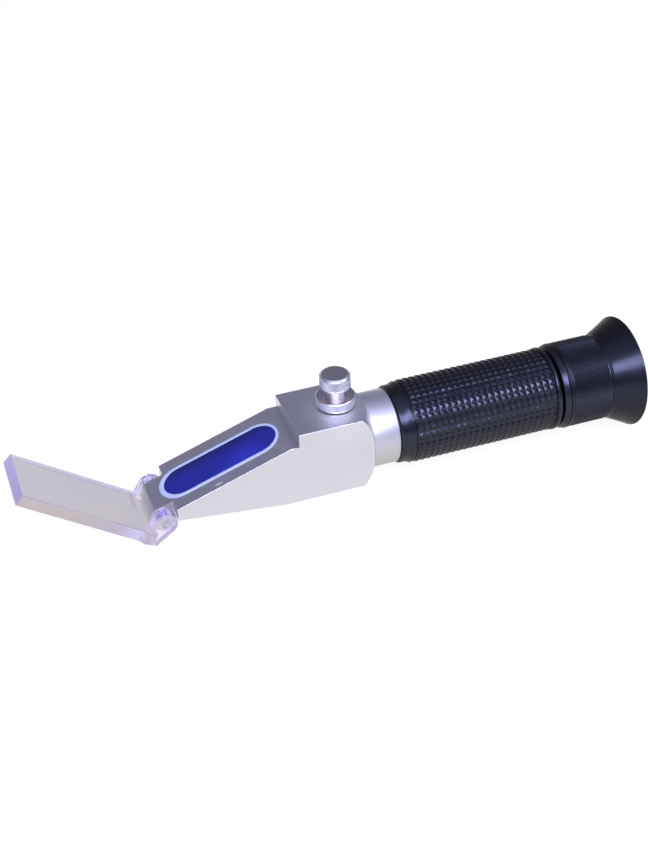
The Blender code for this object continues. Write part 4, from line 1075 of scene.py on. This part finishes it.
def makeTable():
    # the instrument rests on the eyecup's rim and on the foot of the open plate
    corners = frame["nodes"]["daylight_plate"].data.vertices
    foot = min((v.co for v in corners), key=lambda co: co.z)
    rim = Vector((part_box("eyecup")[1].x - stage["rimInset"] * mm, 0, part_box("eyecup")[0].z))
    tilt = math.atan2(foot.z - rim.z, rim.x - foot.x)
    bm = bmesh.new()
    bmesh.ops.create_grid(bm, x_segments=1, y_segments=1, size=stage["tableSize"] / 2)
    mesh = meshOf("table", bm)
    table = addObject("table", mesh)
    table.location, table.rotation_euler = rim, (0, tilt, 0)
    # white sweep paper: matt, and pure white to the eye, in metal and through glass
    paper, shader = newMaterial("whiteSweepPaper", Roughness=0.9,
                                Base_Color=linear(stage["paper"]))
    ray = addNode(paper, "ShaderNodeLightPath").outputs
    seen = addNode(paper, "ShaderNodeMath", {"operation": "MAXIMUM"},
                   {0: ray["Is Camera Ray"], 1: ray["Is Glossy Ray"]})
    through = addNode(paper, "ShaderNodeMath", {"operation": "MAXIMUM"},
                      {0: seen.outputs[0], 1: ray["Is Transmission Ray"]})
    share = addNode(paper, "ShaderNodeMath", {"operation": "MULTIPLY"},
                    {0: through.outputs[0]})
    share.inputs[1].default_value = stage["paperGlow"]
    white = addNode(paper, "ShaderNodeEmission", {"Strength": stage["paperLight"]})
    mix = addNode(paper, "ShaderNodeMixShader", links={
        0: share.outputs[0], 1: shader.outputs[0], 2: white.outputs[0]})
    output = paper.node_tree.nodes["Material Output"]
    paper.node_tree.links.new(mix.outputs[0], output.inputs["Surface"])
    mesh.materials.append(paper)


def makeLamps():
    # a wide softbox over the camera and a small one to the right
    for name, azimuth, elevation, width, height, radiance in stage["lamps"]:
        light = bpy.data.lights.new(name, "AREA")
        light.shape, light.size, light.size_y = "RECTANGLE", width, height
        light.energy = radiance * math.pi * width * height
        light.color = linear(stage["lampColour"])[:3]
        lamp = addObject(name, light)
        direction = toward(azimuth, elevation)
        lamp.location = Vector((0, 0, axisHeight)) + direction * stage["lampDistance"]
        lamp.rotation_mode = "QUATERNION"
        lamp.rotation_quaternion = (-direction).to_track_quat("-Z", "Y")
        lamp.visible_camera = False


def makeRoom():
    # a grey lilac room with a brighter ceiling over the camera
    world = bpy.data.worlds.new("softRoom")
    bpy.context.scene.world = world
    world.use_nodes = True
    direction = addNode(world, "ShaderNodeTexCoord").outputs["Generated"]
    lean = math.radians(stage["ceilingLean"])
    height = alongAxis(world, direction, (0, -math.sin(lean), math.cos(lean)))
    light = rampOf(world, fromTo(world, height, -1.0, 1.0),
                   [((cosine + 1) / 2, shade) for cosine, shade in stage["room"]])
    wire(world, world.node_tree.nodes["Background"], {"Color": light})


def makeCamera():
    back = toward(photoCamera["azimuth"], photoCamera["elevation"])
    data = bpy.data.cameras.new("photoCamera")
    data.lens = photoCamera["lens"]
    data.clip_start, data.clip_end = photoCamera["clip"]
    camera = addObject("photoCamera", data)
    camera.rotation_mode = "QUATERNION"
    level = (-back).to_track_quat("-Z", "Y")
    roll = Matrix.Rotation(math.radians(photoCamera["roll"]), 3, back).to_quaternion()
    camera.rotation_quaternion = roll @ level
    camera.location = shoulder + Vector(photoCamera["place"]) * mm
    bpy.context.scene.camera = camera


makeTable()
makeLamps()
makeRoom()
makeCamera()
bpy.context.scene.view_settings.view_transform = "Standard"
print("stage set")
